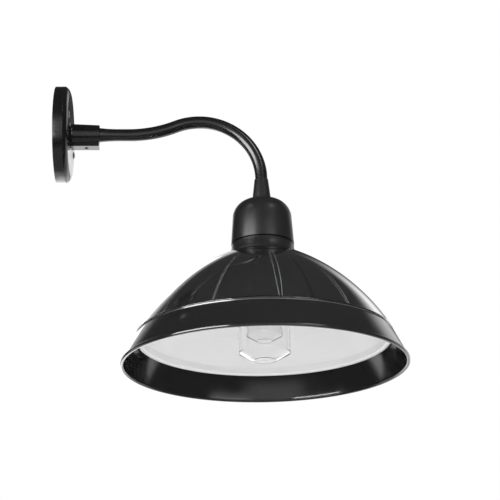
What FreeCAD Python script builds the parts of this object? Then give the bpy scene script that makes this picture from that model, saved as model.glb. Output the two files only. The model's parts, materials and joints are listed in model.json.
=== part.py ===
import FreeCAD, Part
import math
import os

# Solar barn light for an outside wall, in millimetres.
# The origin is the centre of the wall plate's back, +X points out of the wall along the arm, +Z points up.
# Pieces of the shade are drawn about the origin's Z axis and then moved out to the shade's own axis.

full_turn = 360.0
half_turn = 180.0
quarter_turn = 90.0

# Clearances and the one overrun that all cuts share
fit_gap = 0.1
arm_running_gap = 0.06
moving_gap = 0.4
bond_gap = 0.2
overrun = 4.0

# Wall plate, a shallow round canopy with a bevelled front edge
plate_radius = 63.0
plate_side_depth = 12.5
plate_bevel_depth = 6.0
plate_bevel_inset = 9.0
plate_bevel_bulge = 0.7
plate_wall = 2.0
plate_gasket_width = 3.0
plate_gasket_thickness = 3.0

# Wall bracket, a steel disc with two threaded standoffs, and the screws that hold the plate to it
bracket_radius = 52.0
bracket_thickness = 2.0
wall_hole_spacing = 70.0
wall_hole_radius = 2.75
canopy_screw_spacing = 88.9
canopy_screw_angle = 12.5
canopy_screw_radius = 2.0
canopy_screw_grip = 9.0
canopy_head_radius = 4.6
canopy_head_height = 1.4
pan_head_edge_share = 0.33
pan_head_crown_share = 0.8
pan_slot_width_share = 0.28
pan_slot_length_share = 1.1
standoff_wall = 2.4

# Arm socket, a cast collar with a flat pad beneath for the lock screw
socket_length = 36.7
socket_root_radius = 14.6
socket_end_radius = 13.1
socket_foot_radius = 17.0
socket_foot_depth = 3.4
socket_flare_share = 0.3
socket_spigot_wall = 3.0
socket_spigot_length = 12.0
socket_nut_radius = 18.0
socket_nut_thickness = 5.0
socket_nut_notch = 3.0
pad_width = 13.4
pad_drop = 18.0
pad_plate_gap = 0.4
lock_screw_inset = 16.4
lock_screw_radius = 2.5
lock_tip_radius = 1.5
lock_tip_reach = 1.6
lock_screw_sink = 0.8
lock_hex_radius = 1.3
lock_hex_depth = 2.5
swivel_limit_degrees = 15.0

# Gooseneck arm, a bent tube that is swaged up where it enters the socket
arm_radius = 8.0
arm_wall = 1.2
arm_root_radius = 9.4
arm_root_start = 8.0
arm_flare_clear = 0.8
arm_flare_length = 24.0
arm_straight_length = 13.0
arm_rise_degrees = 22.5
arm_rise_radius = 160.0
arm_bend_radius = 79.5
arm_thread_spare = 2.0

# Ferrule, washer and locknut at the lower end of the arm
ferrule_drop = 1.7
ferrule_height = 30.0
ferrule_top_radius = 8.8
ferrule_foot_radius = 12.2
washer_radius = 13.0
washer_thickness = 1.5
locknut_flats = 21.0
locknut_thickness = 5.0

# Cap that houses the battery, and the pillars inside it that take the long screws
cap_waist_radius = 37.6
cap_foot_radius = 39.9
cap_shoulder_radius = 24.0
cap_wall = 2.4
cap_headroom = 9.9
cap_reveal = 1.8
cap_post_circle = 30.5
cap_post_radius = 3.4
cap_post_count = 3
cap_post_start_angle = 30.0
cap_screw_radius = 1.6
cap_screw_grip = 16.0
cap_screw_head_radius = 2.9
cap_screw_head_height = 2.4
cap_screw_slot_share = 0.33

# Battery tray, cells, springs and contacts
tray_radius = 34.3
tray_thickness = 2.0
tray_sleeve_height = 18.0
tray_sleeve_wall = 1.2
tray_pillar_radius = 3.0
tray_pillar_circle = 18.0
tray_lid_radius = 26.7
tray_lid_thickness = 2.0
tray_lid_clear = 1.2
cell_radius = 7.0
cell_length = 43.0
cell_nub_radius = 2.5
cell_nub_height = 1.0
cell_circle = 20.0
cell_play = 0.3
contact_radius = 4.0
contact_thickness = 0.6
cell_spring_height = 3.5
cell_spring_radius = 4.0
cell_spring_wire = 0.35
cell_spring_turns = 3

# Neck collar that clamps the top of the dome
collar_height = 14.0
collar_waist_share = 0.2
collar_top_radius = 39.7
collar_foot_radius = 42.0
collar_skirt_gap = 0.9
collar_spigot_height = 8.0
collar_spigot_gap = 0.7
collar_spigot_wall = 2.0
collar_neck_radius = 38.5
collar_neck_wall = 3.4
collar_shelf_thickness = 2.0
collar_shelf_radius = 27.2
cover_seal_margin = 0.7
neck_seal_thickness = 0.8

# Control board under the battery tray
board_radius = 25.0
board_thickness = 1.6
board_peg_height = 2.0
board_peg_radius = 2.4
board_peg_circle = 20.5
board_peg_start_angle = 0.0
board_screw_radius = 1.0
board_screw_grip = 2.6
board_screw_head_radius = 1.9
board_screw_head_height = 1.3
coil_radius = 4.5
coil_bore_radius = 2.25
coil_height = 3.4
chip_length = 9.0
chip_width = 6.0
chip_height = 1.4
capacitor_radius = 2.4
capacitor_height = 3.2
capacitor_spacing = 6.2
part_spread = 9.0

# Dome, an arc of revolution that the cover, the panels, the frame and the reflector all follow
dome_top_radius = 44.0
dome_foot_radius = 158.0
dome_height = 104.0
dome_arc_radius = 262.3
cover_wall = 1.6
cover_bead_radius = 1.3
cover_foot_drop = 2.8
cover_top_gap = 0.4
panel_gap = 0.3
panel_thickness = 0.7
panel_count = 12
panel_seam_angle = 6.5
panel_seam_end_width = 0.9
panel_seam_middle_width = 5.0
panel_top_radius = 41.0
panel_foot_margin = 1.2
frame_wall = 1.8
frame_plate_thickness = 2.0
frame_foot_height = 2.4
foot_seal_thickness = 1.2

# Rim, the flared band at the foot of the dome
shade_diameter = 356.0
rim_height = 36.8
rim_wall = 2.4
rim_lip_width = 4.7
rim_lip_height = 4.6
rim_corner = 1.6
rim_corner_share = 0.3
rim_lip_bulge_share = 0.42
rim_lip_rise_share = 0.3
rim_lip_corner_share = 0.28
rim_lip_edge_share = 0.06
rim_lip_curl_share = 0.1
rim_lip_heel_share = 0.15
rim_lip_inner_share = 0.5
rim_ledge_thickness = 2.0
rim_ledge_clear = 1.7
rim_screw_count = 8
rim_screw_start_angle = 20.0
rim_screw_radius = 0.9
rim_screw_grip = 1.6
rim_screw_head_radius = 1.7
rim_screw_head_height = 1.2
rim_screw_head_clear = 1.25

# White reflector inside the shade
reflector_inset = 5.5
reflector_wall = 1.2
reflector_drop = 19.0
reflector_edge_inset = 7.7
reflector_flange_drop = 5.6
reflector_flange_width = 6.3
reflector_flange_round = 2.4

# Lamp holder with its metal shell and centre contact
holder_rise = 5.75
holder_top_wall = 2.2
holder_wall = 3.0
holder_flange_radius = 26.6
holder_flange_thickness = 3.0
holder_body_radius = 20.0
holder_nose_radius = 17.4
holder_nose_drop = 4.0
holder_screw_circle = 23.2
holder_screw_radius = 1.5
holder_screw_head_radius = 2.6
holder_screw_head_height = 1.8
holder_screw_count = 3
holder_screw_start_angle = 90.0
shell_wall = 0.5
shell_end_inset = 2.0
socket_ring_radius = 24.0
socket_ring_thickness = 3.5
socket_ring_round = 1.2
socket_contact_radius = 4.0
socket_contact_thickness = 0.8

# Screw-in lamp with a clear jar over a clear inner lens
bulb_thread_radius = 13.0
bulb_thread_depth = 0.8
bulb_thread_pitch = 3.63
bulb_thread_turns = 5
bulb_base_wall = 0.5
bulb_tip_radius = 3.2
bulb_tip_height = 2.1
bulb_insulator_height = 3.0
bulb_neck_top_radius = 15.5
bulb_neck_height = 26.5
bulb_neck_band = 3.0
bulb_neck_wall = 2.0
bulb_neck_swell = 1.0
bulb_plug_height = 4.0
jar_radius = 32.0
jar_height = 86.6
jar_wall = 1.5
jar_chamfer_height = 9.9
jar_flat_radius = 13.9
jar_overlap = 4.0
lens_radius = 22.4
lens_length = 56.2
lens_wall = 1.2
cup_lean_share = 0.45
lens_chamfer_height = 7.0
lens_flat_radius = 9.5
lens_flange_width = 2.6
lens_flange_thickness = 1.2
led_board_radius = 29.5
led_board_thickness = 1.6
led_count = 8
led_circle = 14.0
led_size = 3.4
led_height = 0.9

# Push switch on the reflector's flat centre
switch_circle = 44.0
switch_angle = 180.0
switch_body_radius = 6.6
switch_body_wall = 1.6
switch_bushing_radius = 5.2
switch_bushing_drop = 3.6
switch_nut_flats = 13.0
switch_nut_thickness = 2.2
button_radius = 3.3
button_stand = 3.4
button_travel = 1.5
button_crown = 0.8
button_round_share = 0.3
button_collar_width = 1.0
button_collar_height = 1.2
button_spring_wire = 0.3
button_spring_turns = 4
button_spring_spare = 1.3

# Leads inside the neck
lead_radius = 0.8
lead_bend = 3.0
lead_hole_gap = 0.4
lead_post_circle = 31.5
lead_drop_level = 5.6
lead_rise_level = 4.6
lead_board_circle = 20.5
panel_lead_angle = 90.0
panel_lead_circle = 44.5
switch_lead_circle = 40.0
lead_pair_degrees = 8.0
lamp_lead_circle = 14.0
lamp_lead_count = 2
lamp_lead_start_angle = 45.0

# Levels along the arm, from the wall outwards
plate_depth = plate_side_depth + plate_bevel_depth
socket_end = plate_depth + socket_length
arm_flare_start = socket_end + arm_flare_clear
arm_flare_end = arm_flare_start + arm_flare_length
arm_straight_end = arm_flare_end + arm_straight_length
arm_rise = math.radians(arm_rise_degrees)
arm_crest_x = arm_straight_end + (arm_rise_radius + arm_bend_radius) * math.sin(arm_rise)
arm_crest_z = (arm_rise_radius + arm_bend_radius) * (1 - math.cos(arm_rise))
shade_x = arm_crest_x + arm_bend_radius
arm_bore_radius = arm_radius - arm_wall

# Levels down the shade, each one hanging from the one above
bend_end_z = arm_crest_z - arm_bend_radius
ferrule_top_z = bend_end_z - ferrule_drop
cap_top_z = ferrule_top_z - ferrule_height
cap_ceiling_z = cap_top_z - cap_wall
locknut_top_z = cap_ceiling_z - washer_thickness
locknut_foot_z = locknut_top_z - locknut_thickness
arm_end_z = locknut_foot_z - arm_thread_spare
lid_top_z = cap_top_z - cap_headroom
lid_foot_z = lid_top_z - tray_lid_thickness
cell_top_z = lid_foot_z - contact_thickness
cell_foot_z = cell_top_z - cell_length
tray_top_z = cell_foot_z - cell_spring_height
tray_foot_z = tray_top_z - tray_thickness
cap_foot_z = tray_foot_z + cap_reveal
shelf_foot_z = tray_foot_z - collar_shelf_thickness
board_top_z = tray_foot_z - board_peg_height
board_foot_z = board_top_z - board_thickness
dome_top_z = tray_foot_z - collar_height
dome_foot_z = dome_top_z - dome_height
cover_foot_z = dome_foot_z - cover_foot_drop
rim_top_z = cover_foot_z - foot_seal_thickness
rim_foot_z = rim_top_z - rim_height
reflector_flat_z = dome_top_z - reflector_drop
reflector_top_z = reflector_flat_z + reflector_wall

# The dome's arc: its centre follows from its two ends and its radius
dome_chord = math.hypot(dome_foot_radius - dome_top_radius, dome_height)
dome_sagitta_reach = math.sqrt(dome_arc_radius ** 2 - (dome_chord / 2) ** 2)
dome_centre_r = (dome_top_radius + dome_foot_radius) / 2 - dome_sagitta_reach * dome_height / dome_chord
dome_centre_z = (
    (dome_top_z + dome_foot_z) / 2
    - dome_sagitta_reach * (dome_foot_radius - dome_top_radius) / dome_chord
)


def dome_z(radius, inset):
    """Height of the dome's arc at a radius, inset square to the outer skin."""
    return dome_centre_z + math.sqrt((dome_arc_radius - inset) ** 2 - (radius - dome_centre_r) ** 2)


def dome_r(height, inset):
    """Radius of the dome's arc at a height, inset square to the outer skin."""
    return dome_centre_r + math.sqrt((dome_arc_radius - inset) ** 2 - (height - dome_centre_z) ** 2)


# Insets of the dome's layers from its outer skin
panel_inset = cover_wall + panel_gap
frame_inset = panel_inset + panel_thickness + bond_gap
frame_inner_inset = frame_inset + frame_wall
plate_top_z = dome_z(collar_neck_radius + cover_top_gap, frame_inset)
plate_foot_z = plate_top_z - frame_plate_thickness
frame_foot_radius = dome_r(cover_foot_z, frame_inner_inset)
rim_screw_circle = (frame_foot_radius + dome_r(cover_foot_z, cover_wall) - bond_gap) / 2
rim_foot_radius = shade_diameter / 2
# The rim's slanted wall passes the heads of its screws, and that sets how wide its top is
rim_head_drop = rim_ledge_thickness + rim_screw_head_height
rim_wall_pass_radius = rim_screw_circle + rim_screw_head_radius + rim_screw_head_clear + rim_wall
rim_top_spread = rim_wall_pass_radius * rim_height - rim_foot_radius * rim_head_drop
rim_top_radius = rim_top_spread / (rim_height - rim_head_drop)
reflector_edge_radius = dome_foot_radius - reflector_edge_inset
rim_ledge_radius = reflector_edge_radius + reflector_wall + rim_ledge_clear

# Levels of the lamp holder, the lamp and the switch
holder_top_z = plate_top_z + holder_rise
holder_ceiling_z = holder_top_z - holder_top_wall
holder_nose_z = reflector_flat_z - holder_nose_drop
shell_radius = bulb_thread_radius + moving_gap
holder_bore_radius = shell_radius + shell_wall + fit_gap
holder_neck_radius = holder_bore_radius + holder_wall
tip_top_z = holder_ceiling_z - socket_contact_thickness - moving_gap
tip_foot_z = tip_top_z - bulb_tip_height
base_top_z = tip_foot_z - bulb_insulator_height / 2
neck_top_z = holder_nose_z - moving_gap
jar_top_z = neck_top_z - bulb_neck_height
jar_foot_z = jar_top_z - jar_height
plug_foot_z = jar_top_z - jar_overlap
led_board_foot_z = plug_foot_z - led_board_thickness
switch_foot_z = reflector_flat_z - switch_bushing_drop
button_bore_radius = button_radius + moving_gap
button_shoulder_z = reflector_top_z - reflector_wall
button_foot_z = switch_foot_z - button_stand
button_top_z = button_shoulder_z + moving_gap + button_collar_height
button_spring_solid_height = 2 * button_spring_wire * (button_spring_turns + 1)
switch_chamber_top_z = button_top_z + button_spring_solid_height + button_travel + button_spring_spare
switch_top_z = switch_chamber_top_z + switch_body_wall

origin = FreeCAD.Vector(0, 0, 0)
along_x = FreeCAD.Vector(1, 0, 0)
along_y = FreeCAD.Vector(0, 1, 0)
along_z = FreeCAD.Vector(0, 0, 1)


def upright(radius, height):
    """A point of an outline that turns about the Z axis."""
    return FreeCAD.Vector(radius, 0, height)


def lying(reach, radius):
    """A point of an outline that turns about the X axis."""
    return FreeCAD.Vector(reach, 0, radius)


def outline(place, start, *steps):
    """A face: each step is a point to go to, or a pair of points, through the first in an arc to the second."""
    edges = []
    here = start
    for step in steps:
        if isinstance(step[0], tuple):
            middle, end = step
            edges.append(Part.Arc(place(*here), place(*middle), place(*end)).toShape())
        else:
            end = step
            edges.append(Part.makeLine(place(*here), place(*end)))
        here = end
    edges.append(Part.makeLine(place(*here), place(*start)))
    return Part.Face(Part.Wire(edges))


def turned(start, *steps):
    return outline(upright, start, *steps).revolve(origin, along_z, full_turn)


def turned_on_arm(start, *steps):
    return outline(lying, start, *steps).revolve(origin, along_x, full_turn)


def rod(radius, low, high, x=0.0, y=0.0):
    """An upright round bar between two levels."""
    return Part.makeCylinder(radius, high - low, FreeCAD.Vector(x, y, low), along_z)


def ring(inner, outer, low, high, x=0.0, y=0.0):
    bore = rod(inner, low - overrun, high + overrun, x, y)
    return rod(outer, low, high, x, y).cut(bore)


def arm_rod(radius, near, far, y=0.0, z=0.0):
    """A round bar along the arm, between two distances from the wall."""
    return Part.makeCylinder(radius, far - near, FreeCAD.Vector(near, y, z), along_x)


def block(length, width, low, high, x=0.0, y=0.0):
    corner = FreeCAD.Vector(x - length / 2, y - width / 2, low)
    return Part.makeBox(length, width, high - low, corner)


def hexagon(flats, low, high):
    """A hexagonal bar, flats apart, about the Z axis."""
    corner = flats / math.sqrt(3)
    points = []
    for side in range(7):
        angle = math.radians(side * full_turn / 6)
        points.append(FreeCAD.Vector(corner * math.cos(angle), corner * math.sin(angle), low))
    face = Part.Face(Part.makePolygon(points))
    return face.extrude(FreeCAD.Vector(0, 0, high - low))


def around(shape, count, start_angle):
    """Copies of a shape, evenly round the Z axis, the first turned by the start angle."""
    copies = []
    for number in range(count):
        copy = shape.copy()
        copy.rotate(origin, along_z, start_angle + number * full_turn / count)
        copies.append(copy)
    return copies


def swung(shape, angle):
    copy = shape.copy()
    copy.rotate(origin, along_z, angle)
    return copy


def arc_step(inset, start_z, end_z):
    """The step of an outline that follows the dome's arc between two heights."""
    middle_z = (start_z + end_z) / 2
    return (dome_r(middle_z, inset), middle_z), (dome_r(end_z, inset), end_z)


def coil(radius, wire, turns, low, high, x=0.0, y=0.0):
    """An unbroken round wire wound upwards, in quarter-turn arcs."""
    arc_shares = (0.0, 0.5, 1.0)
    quarters = turns * 4
    climb = (high - low - 2 * wire) / quarters
    edges = []
    for quarter in range(quarters):
        points = []
        for share in arc_shares:
            angle = (quarter + share) * math.pi / 2
            height = low + wire + (quarter + share) * climb
            points.append(FreeCAD.Vector(x + radius * math.cos(angle), y + radius * math.sin(angle), height))
        edges.append(Part.Arc(*points).toShape())
    path = Part.Wire(edges)
    start = FreeCAD.Vector(x + radius, y, low + wire)
    section = Part.Wire(Part.makeCircle(wire, start, FreeCAD.Vector(0, radius, climb)))
    return path.makePipeShell([section], True, False)


def bent_lead(corners):
    """A round lead through the corners, each of them rounded by an arc."""
    edges = []
    here = corners[0]
    for corner, after in zip(corners[1:-1], corners[2:]):
        inward = (corner - here).normalize()
        outward = (after - corner).normalize()
        setback = lead_bend * math.tan(inward.getAngle(outward) / 2)
        start = corner - inward * setback
        end = corner + outward * setback
        toward = (outward - inward).normalize()
        reach = math.hypot(lead_bend, setback) - lead_bend
        edges.append(Part.makeLine(here, start))
        edges.append(Part.Arc(start, corner + toward * reach, end).toShape())
        here = end
    edges.append(Part.makeLine(here, corners[-1]))
    section = Part.Wire(Part.makeCircle(lead_radius, corners[0], corners[1] - corners[0]))
    return Part.Wire(edges).makePipeShell([section], True, False)


# Wall group


def canopy_screw_place(side):
    angle = math.radians(canopy_screw_angle)
    reach = side * canopy_screw_spacing / 2
    return reach * math.cos(angle), -reach * math.sin(angle)


def wall_plate():
    inner_face = plate_depth - plate_wall
    bevel_middle_x = plate_side_depth + plate_bevel_depth / 2 + plate_bevel_bulge
    bevel_middle_r = plate_radius - plate_bevel_inset / 2 + plate_bevel_bulge
    face_radius = plate_radius - plate_bevel_inset
    hole_radius = arm_root_radius + socket_spigot_wall + fit_gap
    shell = turned_on_arm(
        (0, plate_radius - plate_wall),
        (0, plate_radius),
        (plate_side_depth, plate_radius),
        ((bevel_middle_x, bevel_middle_r), (plate_depth, face_radius)),
        (plate_depth, hole_radius),
        (inner_face, hole_radius),
        (inner_face, face_radius - plate_wall / 2),
        (plate_side_depth - plate_wall / 2, plate_radius - plate_wall),
    )
    for side in (-1, 1):
        y, z = canopy_screw_place(side)
        hole = arm_rod(canopy_screw_radius + fit_gap, inner_face - overrun, plate_depth + overrun, y, z)
        shell = shell.cut(hole)
    return shell


def plate_gasket():
    outer = plate_radius - plate_wall - fit_gap
    bore = arm_rod(outer - plate_gasket_width, -overrun, plate_gasket_thickness + overrun)
    return arm_rod(outer, 0, plate_gasket_thickness).cut(bore)


def wall_bracket():
    disc = arm_rod(bracket_radius, 0, bracket_thickness)
    inner_face = plate_depth - plate_wall
    for side in (-1, 1):
        y, z = canopy_screw_place(side)
        disc = disc.fuse(arm_rod(canopy_screw_radius + standoff_wall, 0, inner_face, y, z))
    for side in (-1, 1):
        y, z = canopy_screw_place(side)
        thread_foot = plate_depth - canopy_screw_grip - plate_wall
        disc = disc.cut(arm_rod(canopy_screw_radius + fit_gap, thread_foot, inner_face + overrun, y, z))
        hole = arm_rod(wall_hole_radius, -overrun, bracket_thickness + overrun, 0, side * wall_hole_spacing / 2)
        disc = disc.cut(hole)
    return disc.removeSplitter()


def pan_screw_on_x(radius, grip, head_radius, head_height, seat_x, y, z):
    """A pan-head screw along the arm's direction, its head outside the seat, with a cross slot."""
    edge_x = seat_x + head_height * pan_head_edge_share
    crown_x = seat_x + head_height * pan_head_crown_share
    crown_radius = head_radius * pan_head_crown_share
    shank_start = seat_x - grip
    screw = turned_on_arm(
        (shank_start, 0),
        (shank_start, radius),
        (seat_x, radius),
        (seat_x, head_radius),
        (edge_x, head_radius),
        ((crown_x, crown_radius), (seat_x + head_height, 0)),
    )
    slot_width = head_radius * pan_slot_width_share
    slot_length = head_radius * pan_slot_length_share
    slot_floor = seat_x + head_height / 2
    for length, width in ((slot_length, slot_width), (slot_width, slot_length)):
        corner = FreeCAD.Vector(slot_floor, -length / 2, -width / 2)
        screw = screw.cut(Part.makeBox(head_height, length, width, corner))
    screw.translate(FreeCAD.Vector(0, y, z))
    return screw


def canopy_screws():
    screws = []
    for side in (-1, 1):
        y, z = canopy_screw_place(side)
        screws.append(pan_screw_on_x(
            canopy_screw_radius, canopy_screw_grip, canopy_head_radius, canopy_head_height, plate_depth, y, z))
    return Part.makeCompound(screws)


def arm_socket():
    spigot_radius = arm_root_radius + socket_spigot_wall
    bore_radius = arm_root_radius + arm_running_gap
    foot_end = plate_depth + socket_foot_depth
    flare_middle_x = plate_depth + socket_foot_depth * socket_flare_share
    flare_middle_r = socket_root_radius + (socket_foot_radius - socket_root_radius) * socket_flare_share
    body = turned_on_arm(
        (plate_depth - socket_spigot_length, 0),
        (plate_depth - socket_spigot_length, spigot_radius),
        (plate_depth, spigot_radius),
        (plate_depth, socket_foot_radius),
        ((flare_middle_x, flare_middle_r), (foot_end, socket_root_radius)),
        (socket_end, socket_end_radius),
        (socket_end, 0),
    )
    pad_start = plate_depth + pad_plate_gap
    pad_corner = FreeCAD.Vector(pad_start, -pad_width / 2, -pad_drop)
    pad = Part.makeBox(socket_end - pad_start, pad_width, pad_drop, pad_corner)
    body = body.fuse(pad)
    body = body.cut(arm_rod(bore_radius, -overrun, socket_end + overrun))
    screw_x = socket_end - lock_screw_inset
    hole_foot = FreeCAD.Vector(screw_x, 0, -pad_drop - overrun)
    body = body.cut(Part.makeCylinder(lock_screw_radius + fit_gap, pad_drop + overrun, hole_foot, along_z))
    return body.removeSplitter()


def socket_nut():
    inner_face = plate_depth - plate_wall
    bore = arm_root_radius + socket_spigot_wall + fit_gap
    nut = arm_rod(socket_nut_radius, inner_face - socket_nut_thickness, inner_face)
    nut = nut.cut(arm_rod(bore, 0, plate_depth))
    for number in range(4):
        corner = FreeCAD.Vector(0, -socket_nut_notch / 2, socket_nut_radius - socket_nut_notch / 2)
        notch = Part.makeBox(plate_depth, socket_nut_notch, socket_nut_notch, corner)
        notch.rotate(origin, along_x, number * quarter_turn)
        nut = nut.cut(notch)
    return nut


def arm_lock_screw():
    """Headless screw whose tip runs in the arm's slot and stops its swivel."""
    foot = -pad_drop + lock_screw_sink
    shoulder = -arm_root_radius - moving_gap
    screw = turned(
        (0, foot),
        (lock_screw_radius, foot),
        (lock_screw_radius, shoulder),
        (lock_tip_radius, shoulder),
        (lock_tip_radius, -arm_root_radius + lock_tip_reach),
        (0, -arm_root_radius + lock_tip_reach),
    )
    screw = screw.cut(hexagon(lock_hex_radius * 2, foot - overrun, foot + lock_hex_depth))
    screw.translate(FreeCAD.Vector(socket_end - lock_screw_inset, 0, 0))
    return screw


# Arm group


def arm_root():
    """The straight stretch of the arm, swaged up inside the socket and flared down to the tube."""
    flare_drop = arm_root_radius - arm_radius
    flare_radius = (arm_flare_length ** 2 + flare_drop ** 2) / (2 * flare_drop)
    middle_x = arm_flare_end - arm_flare_length / 2
    middle_r = arm_radius + flare_radius - math.sqrt(flare_radius ** 2 - (arm_flare_length / 2) ** 2)
    return turned_on_arm(
        (arm_root_start, 0),
        (arm_root_start, arm_root_radius),
        (arm_flare_start, arm_root_radius),
        ((middle_x, middle_r), (arm_flare_end, arm_radius)),
        (arm_straight_end, arm_radius),
        (arm_straight_end, 0),
    )


def swivel_slot():
    """The slot through the arm's wall that the lock screw's tip runs in."""
    half_width = lock_tip_radius + moving_gap
    tip_end_radius = arm_root_radius - lock_tip_reach
    half_angle = swivel_limit_degrees + math.degrees(math.asin(half_width / tip_end_radius))
    screw_x = socket_end - lock_screw_inset
    face = outline(
        lying,
        (screw_x - half_width, arm_bore_radius / 2),
        (screw_x - half_width, arm_root_radius + moving_gap),
        (screw_x + half_width, arm_root_radius + moving_gap),
        (screw_x + half_width, arm_bore_radius / 2),
    )
    face.rotate(origin, along_x, half_turn - half_angle)
    return face.revolve(origin, along_x, 2 * half_angle)


def bent_bars(radius):
    """The arm's rise, its bend and its last straight drop, as round bars."""
    rise_start = FreeCAD.Vector(arm_straight_end, 0, 0)
    rise_centre = FreeCAD.Vector(arm_straight_end, 0, arm_rise_radius)
    bend_start_x = arm_straight_end + arm_rise_radius * math.sin(arm_rise)
    bend_start = FreeCAD.Vector(bend_start_x, 0, arm_rise_radius * (1 - math.cos(arm_rise)))
    bend_centre = FreeCAD.Vector(arm_crest_x, 0, arm_crest_z - arm_bend_radius)
    heading = FreeCAD.Vector(math.cos(arm_rise), 0, math.sin(arm_rise))
    rise_face = Part.Face(Part.Wire(Part.makeCircle(radius, rise_start, along_x)))
    bend_face = Part.Face(Part.Wire(Part.makeCircle(radius, bend_start, heading)))
    rise = rise_face.revolve(rise_centre, along_y * -1, arm_rise_degrees)
    bend = bend_face.revolve(bend_centre, along_y, quarter_turn + arm_rise_degrees)
    drop = rod(radius, arm_end_z, bend_end_z, shade_x)
    return [rise, bend, drop]


def arm_tube():
    tube = arm_root().multiFuse(bent_bars(arm_radius))
    bore = arm_rod(arm_bore_radius, arm_root_start, arm_straight_end).multiFuse(bent_bars(arm_bore_radius))
    return tube.cut(bore).cut(swivel_slot()).removeSplitter()


def arm_ferrule():
    bore = arm_radius + fit_gap
    return turned(
        (bore, cap_top_z),
        (ferrule_foot_radius, cap_top_z),
        (ferrule_top_radius, ferrule_top_z),
        (bore, ferrule_top_z),
    )


def arm_washer():
    return ring(arm_radius + fit_gap, washer_radius, locknut_top_z, cap_ceiling_z)


def arm_locknut():
    nut = hexagon(locknut_flats, locknut_foot_z, locknut_top_z)
    return nut.cut(rod(arm_radius + fit_gap, arm_end_z, cap_top_z))


def cap_body(inset, foot_z):
    """The cap's solid outline, inset by its wall for the inside."""
    shoulder = cap_shoulder_radius - inset
    centre_r = cap_waist_radius - cap_shoulder_radius
    centre_z = cap_top_z - cap_shoulder_radius
    diagonal = shoulder / math.sqrt(2)
    return turned(
        (0, foot_z),
        (cap_foot_radius - inset, foot_z),
        (cap_waist_radius - inset, centre_z),
        ((centre_r + diagonal, centre_z + diagonal), (centre_r, cap_top_z - inset)),
        (0, cap_top_z - inset),
    )


def cap_top():
    outer = cap_body(0.0, cap_foot_z)
    shell = outer.cut(cap_body(cap_wall, cap_foot_z))
    post = rod(cap_post_radius, tray_top_z, cap_top_z, cap_post_circle)
    for copy in around(post, cap_post_count, cap_post_start_angle):
        shell = shell.fuse(copy.common(cap_body(cap_wall / 2, tray_top_z)))
    thread = rod(cap_screw_radius + fit_gap, tray_top_z - overrun, tray_top_z + cap_screw_grip, cap_post_circle)
    for copy in around(thread, cap_post_count, cap_post_start_angle):
        shell = shell.cut(copy)
    shell = shell.cut(rod(arm_radius + fit_gap, cap_foot_z, cap_top_z + overrun))
    return shell.removeSplitter()


def cap_screws():
    """The long screws that clamp the frame, the collar and the battery tray up against the cap."""
    seat = plate_foot_z
    screw = turned(
        (0, tray_top_z + cap_screw_grip - cap_screw_radius),
        (cap_screw_radius, tray_top_z + cap_screw_grip - cap_screw_radius),
        (cap_screw_radius, seat),
        (cap_screw_head_radius, seat),
        (cap_screw_head_radius, seat - cap_screw_head_height),
        (0, seat - cap_screw_head_height),
    )
    slot_width = cap_screw_head_radius * cap_screw_slot_share
    slot = block(cap_screw_head_radius * 2, slot_width, seat - cap_screw_head_height - overrun,
                 seat - cap_screw_head_height / 2)
    screw = screw.cut(slot)
    screw.translate(FreeCAD.Vector(cap_post_circle, 0, 0))
    return Part.makeCompound(around(screw, cap_post_count, cap_post_start_angle))


def cell_start_angle():
    """The cells stand between the cap's posts."""
    return cap_post_start_angle + half_turn / cap_post_count


def battery_tray():
    tray = rod(tray_radius, tray_foot_z, tray_top_z)
    sleeve_radius = cell_radius + cell_play
    sleeve = rod(sleeve_radius + tray_sleeve_wall, tray_top_z, tray_top_z + tray_sleeve_height, cell_circle)
    pocket = rod(sleeve_radius, tray_top_z, tray_top_z + tray_sleeve_height + overrun, cell_circle)
    pillar = rod(tray_pillar_radius, tray_foot_z, lid_foot_z, tray_pillar_circle)
    peg = rod(board_peg_radius, board_top_z, tray_foot_z, board_peg_circle)
    tray = tray.multiFuse(
        around(sleeve, cap_post_count, cell_start_angle())
        + around(pillar, cap_post_count, cap_post_start_angle)
        + around(peg, cap_post_count, board_peg_start_angle)
    )
    screw_hole = rod(cap_screw_radius + fit_gap, tray_foot_z - overrun, tray_top_z + overrun, cap_post_circle)
    peg_top = board_top_z + board_screw_grip
    peg_hole = rod(board_screw_radius + fit_gap, board_top_z - overrun, peg_top, board_peg_circle)
    cuts = around(pocket, cap_post_count, cell_start_angle())
    cuts += around(screw_hole, cap_post_count, cap_post_start_angle)
    cuts += around(peg_hole, cap_post_count, board_peg_start_angle)
    for cutter in cuts:
        tray = tray.cut(cutter)
    return tray.removeSplitter()


def tray_lid():
    hole = locknut_flats / math.sqrt(3) + tray_lid_clear
    return ring(hole, tray_lid_radius, lid_foot_z, lid_top_z)


def battery_cells():
    body = rod(cell_radius, cell_foot_z, cell_top_z - cell_nub_height, cell_circle)
    nub = rod(cell_nub_radius, cell_top_z - cell_nub_height, cell_top_z, cell_circle)
    return Part.makeCompound(around(body.fuse(nub), cap_post_count, cell_start_angle()))


def cell_contacts():
    contact = rod(contact_radius, cell_top_z, lid_foot_z, cell_circle)
    return Part.makeCompound(around(contact, cap_post_count, cell_start_angle()))


def cell_springs():
    spring = coil(cell_spring_radius, cell_spring_wire, cell_spring_turns, tray_top_z, cell_foot_z, cell_circle)
    return Part.makeCompound(around(spring, cap_post_count, cell_start_angle()))


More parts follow.
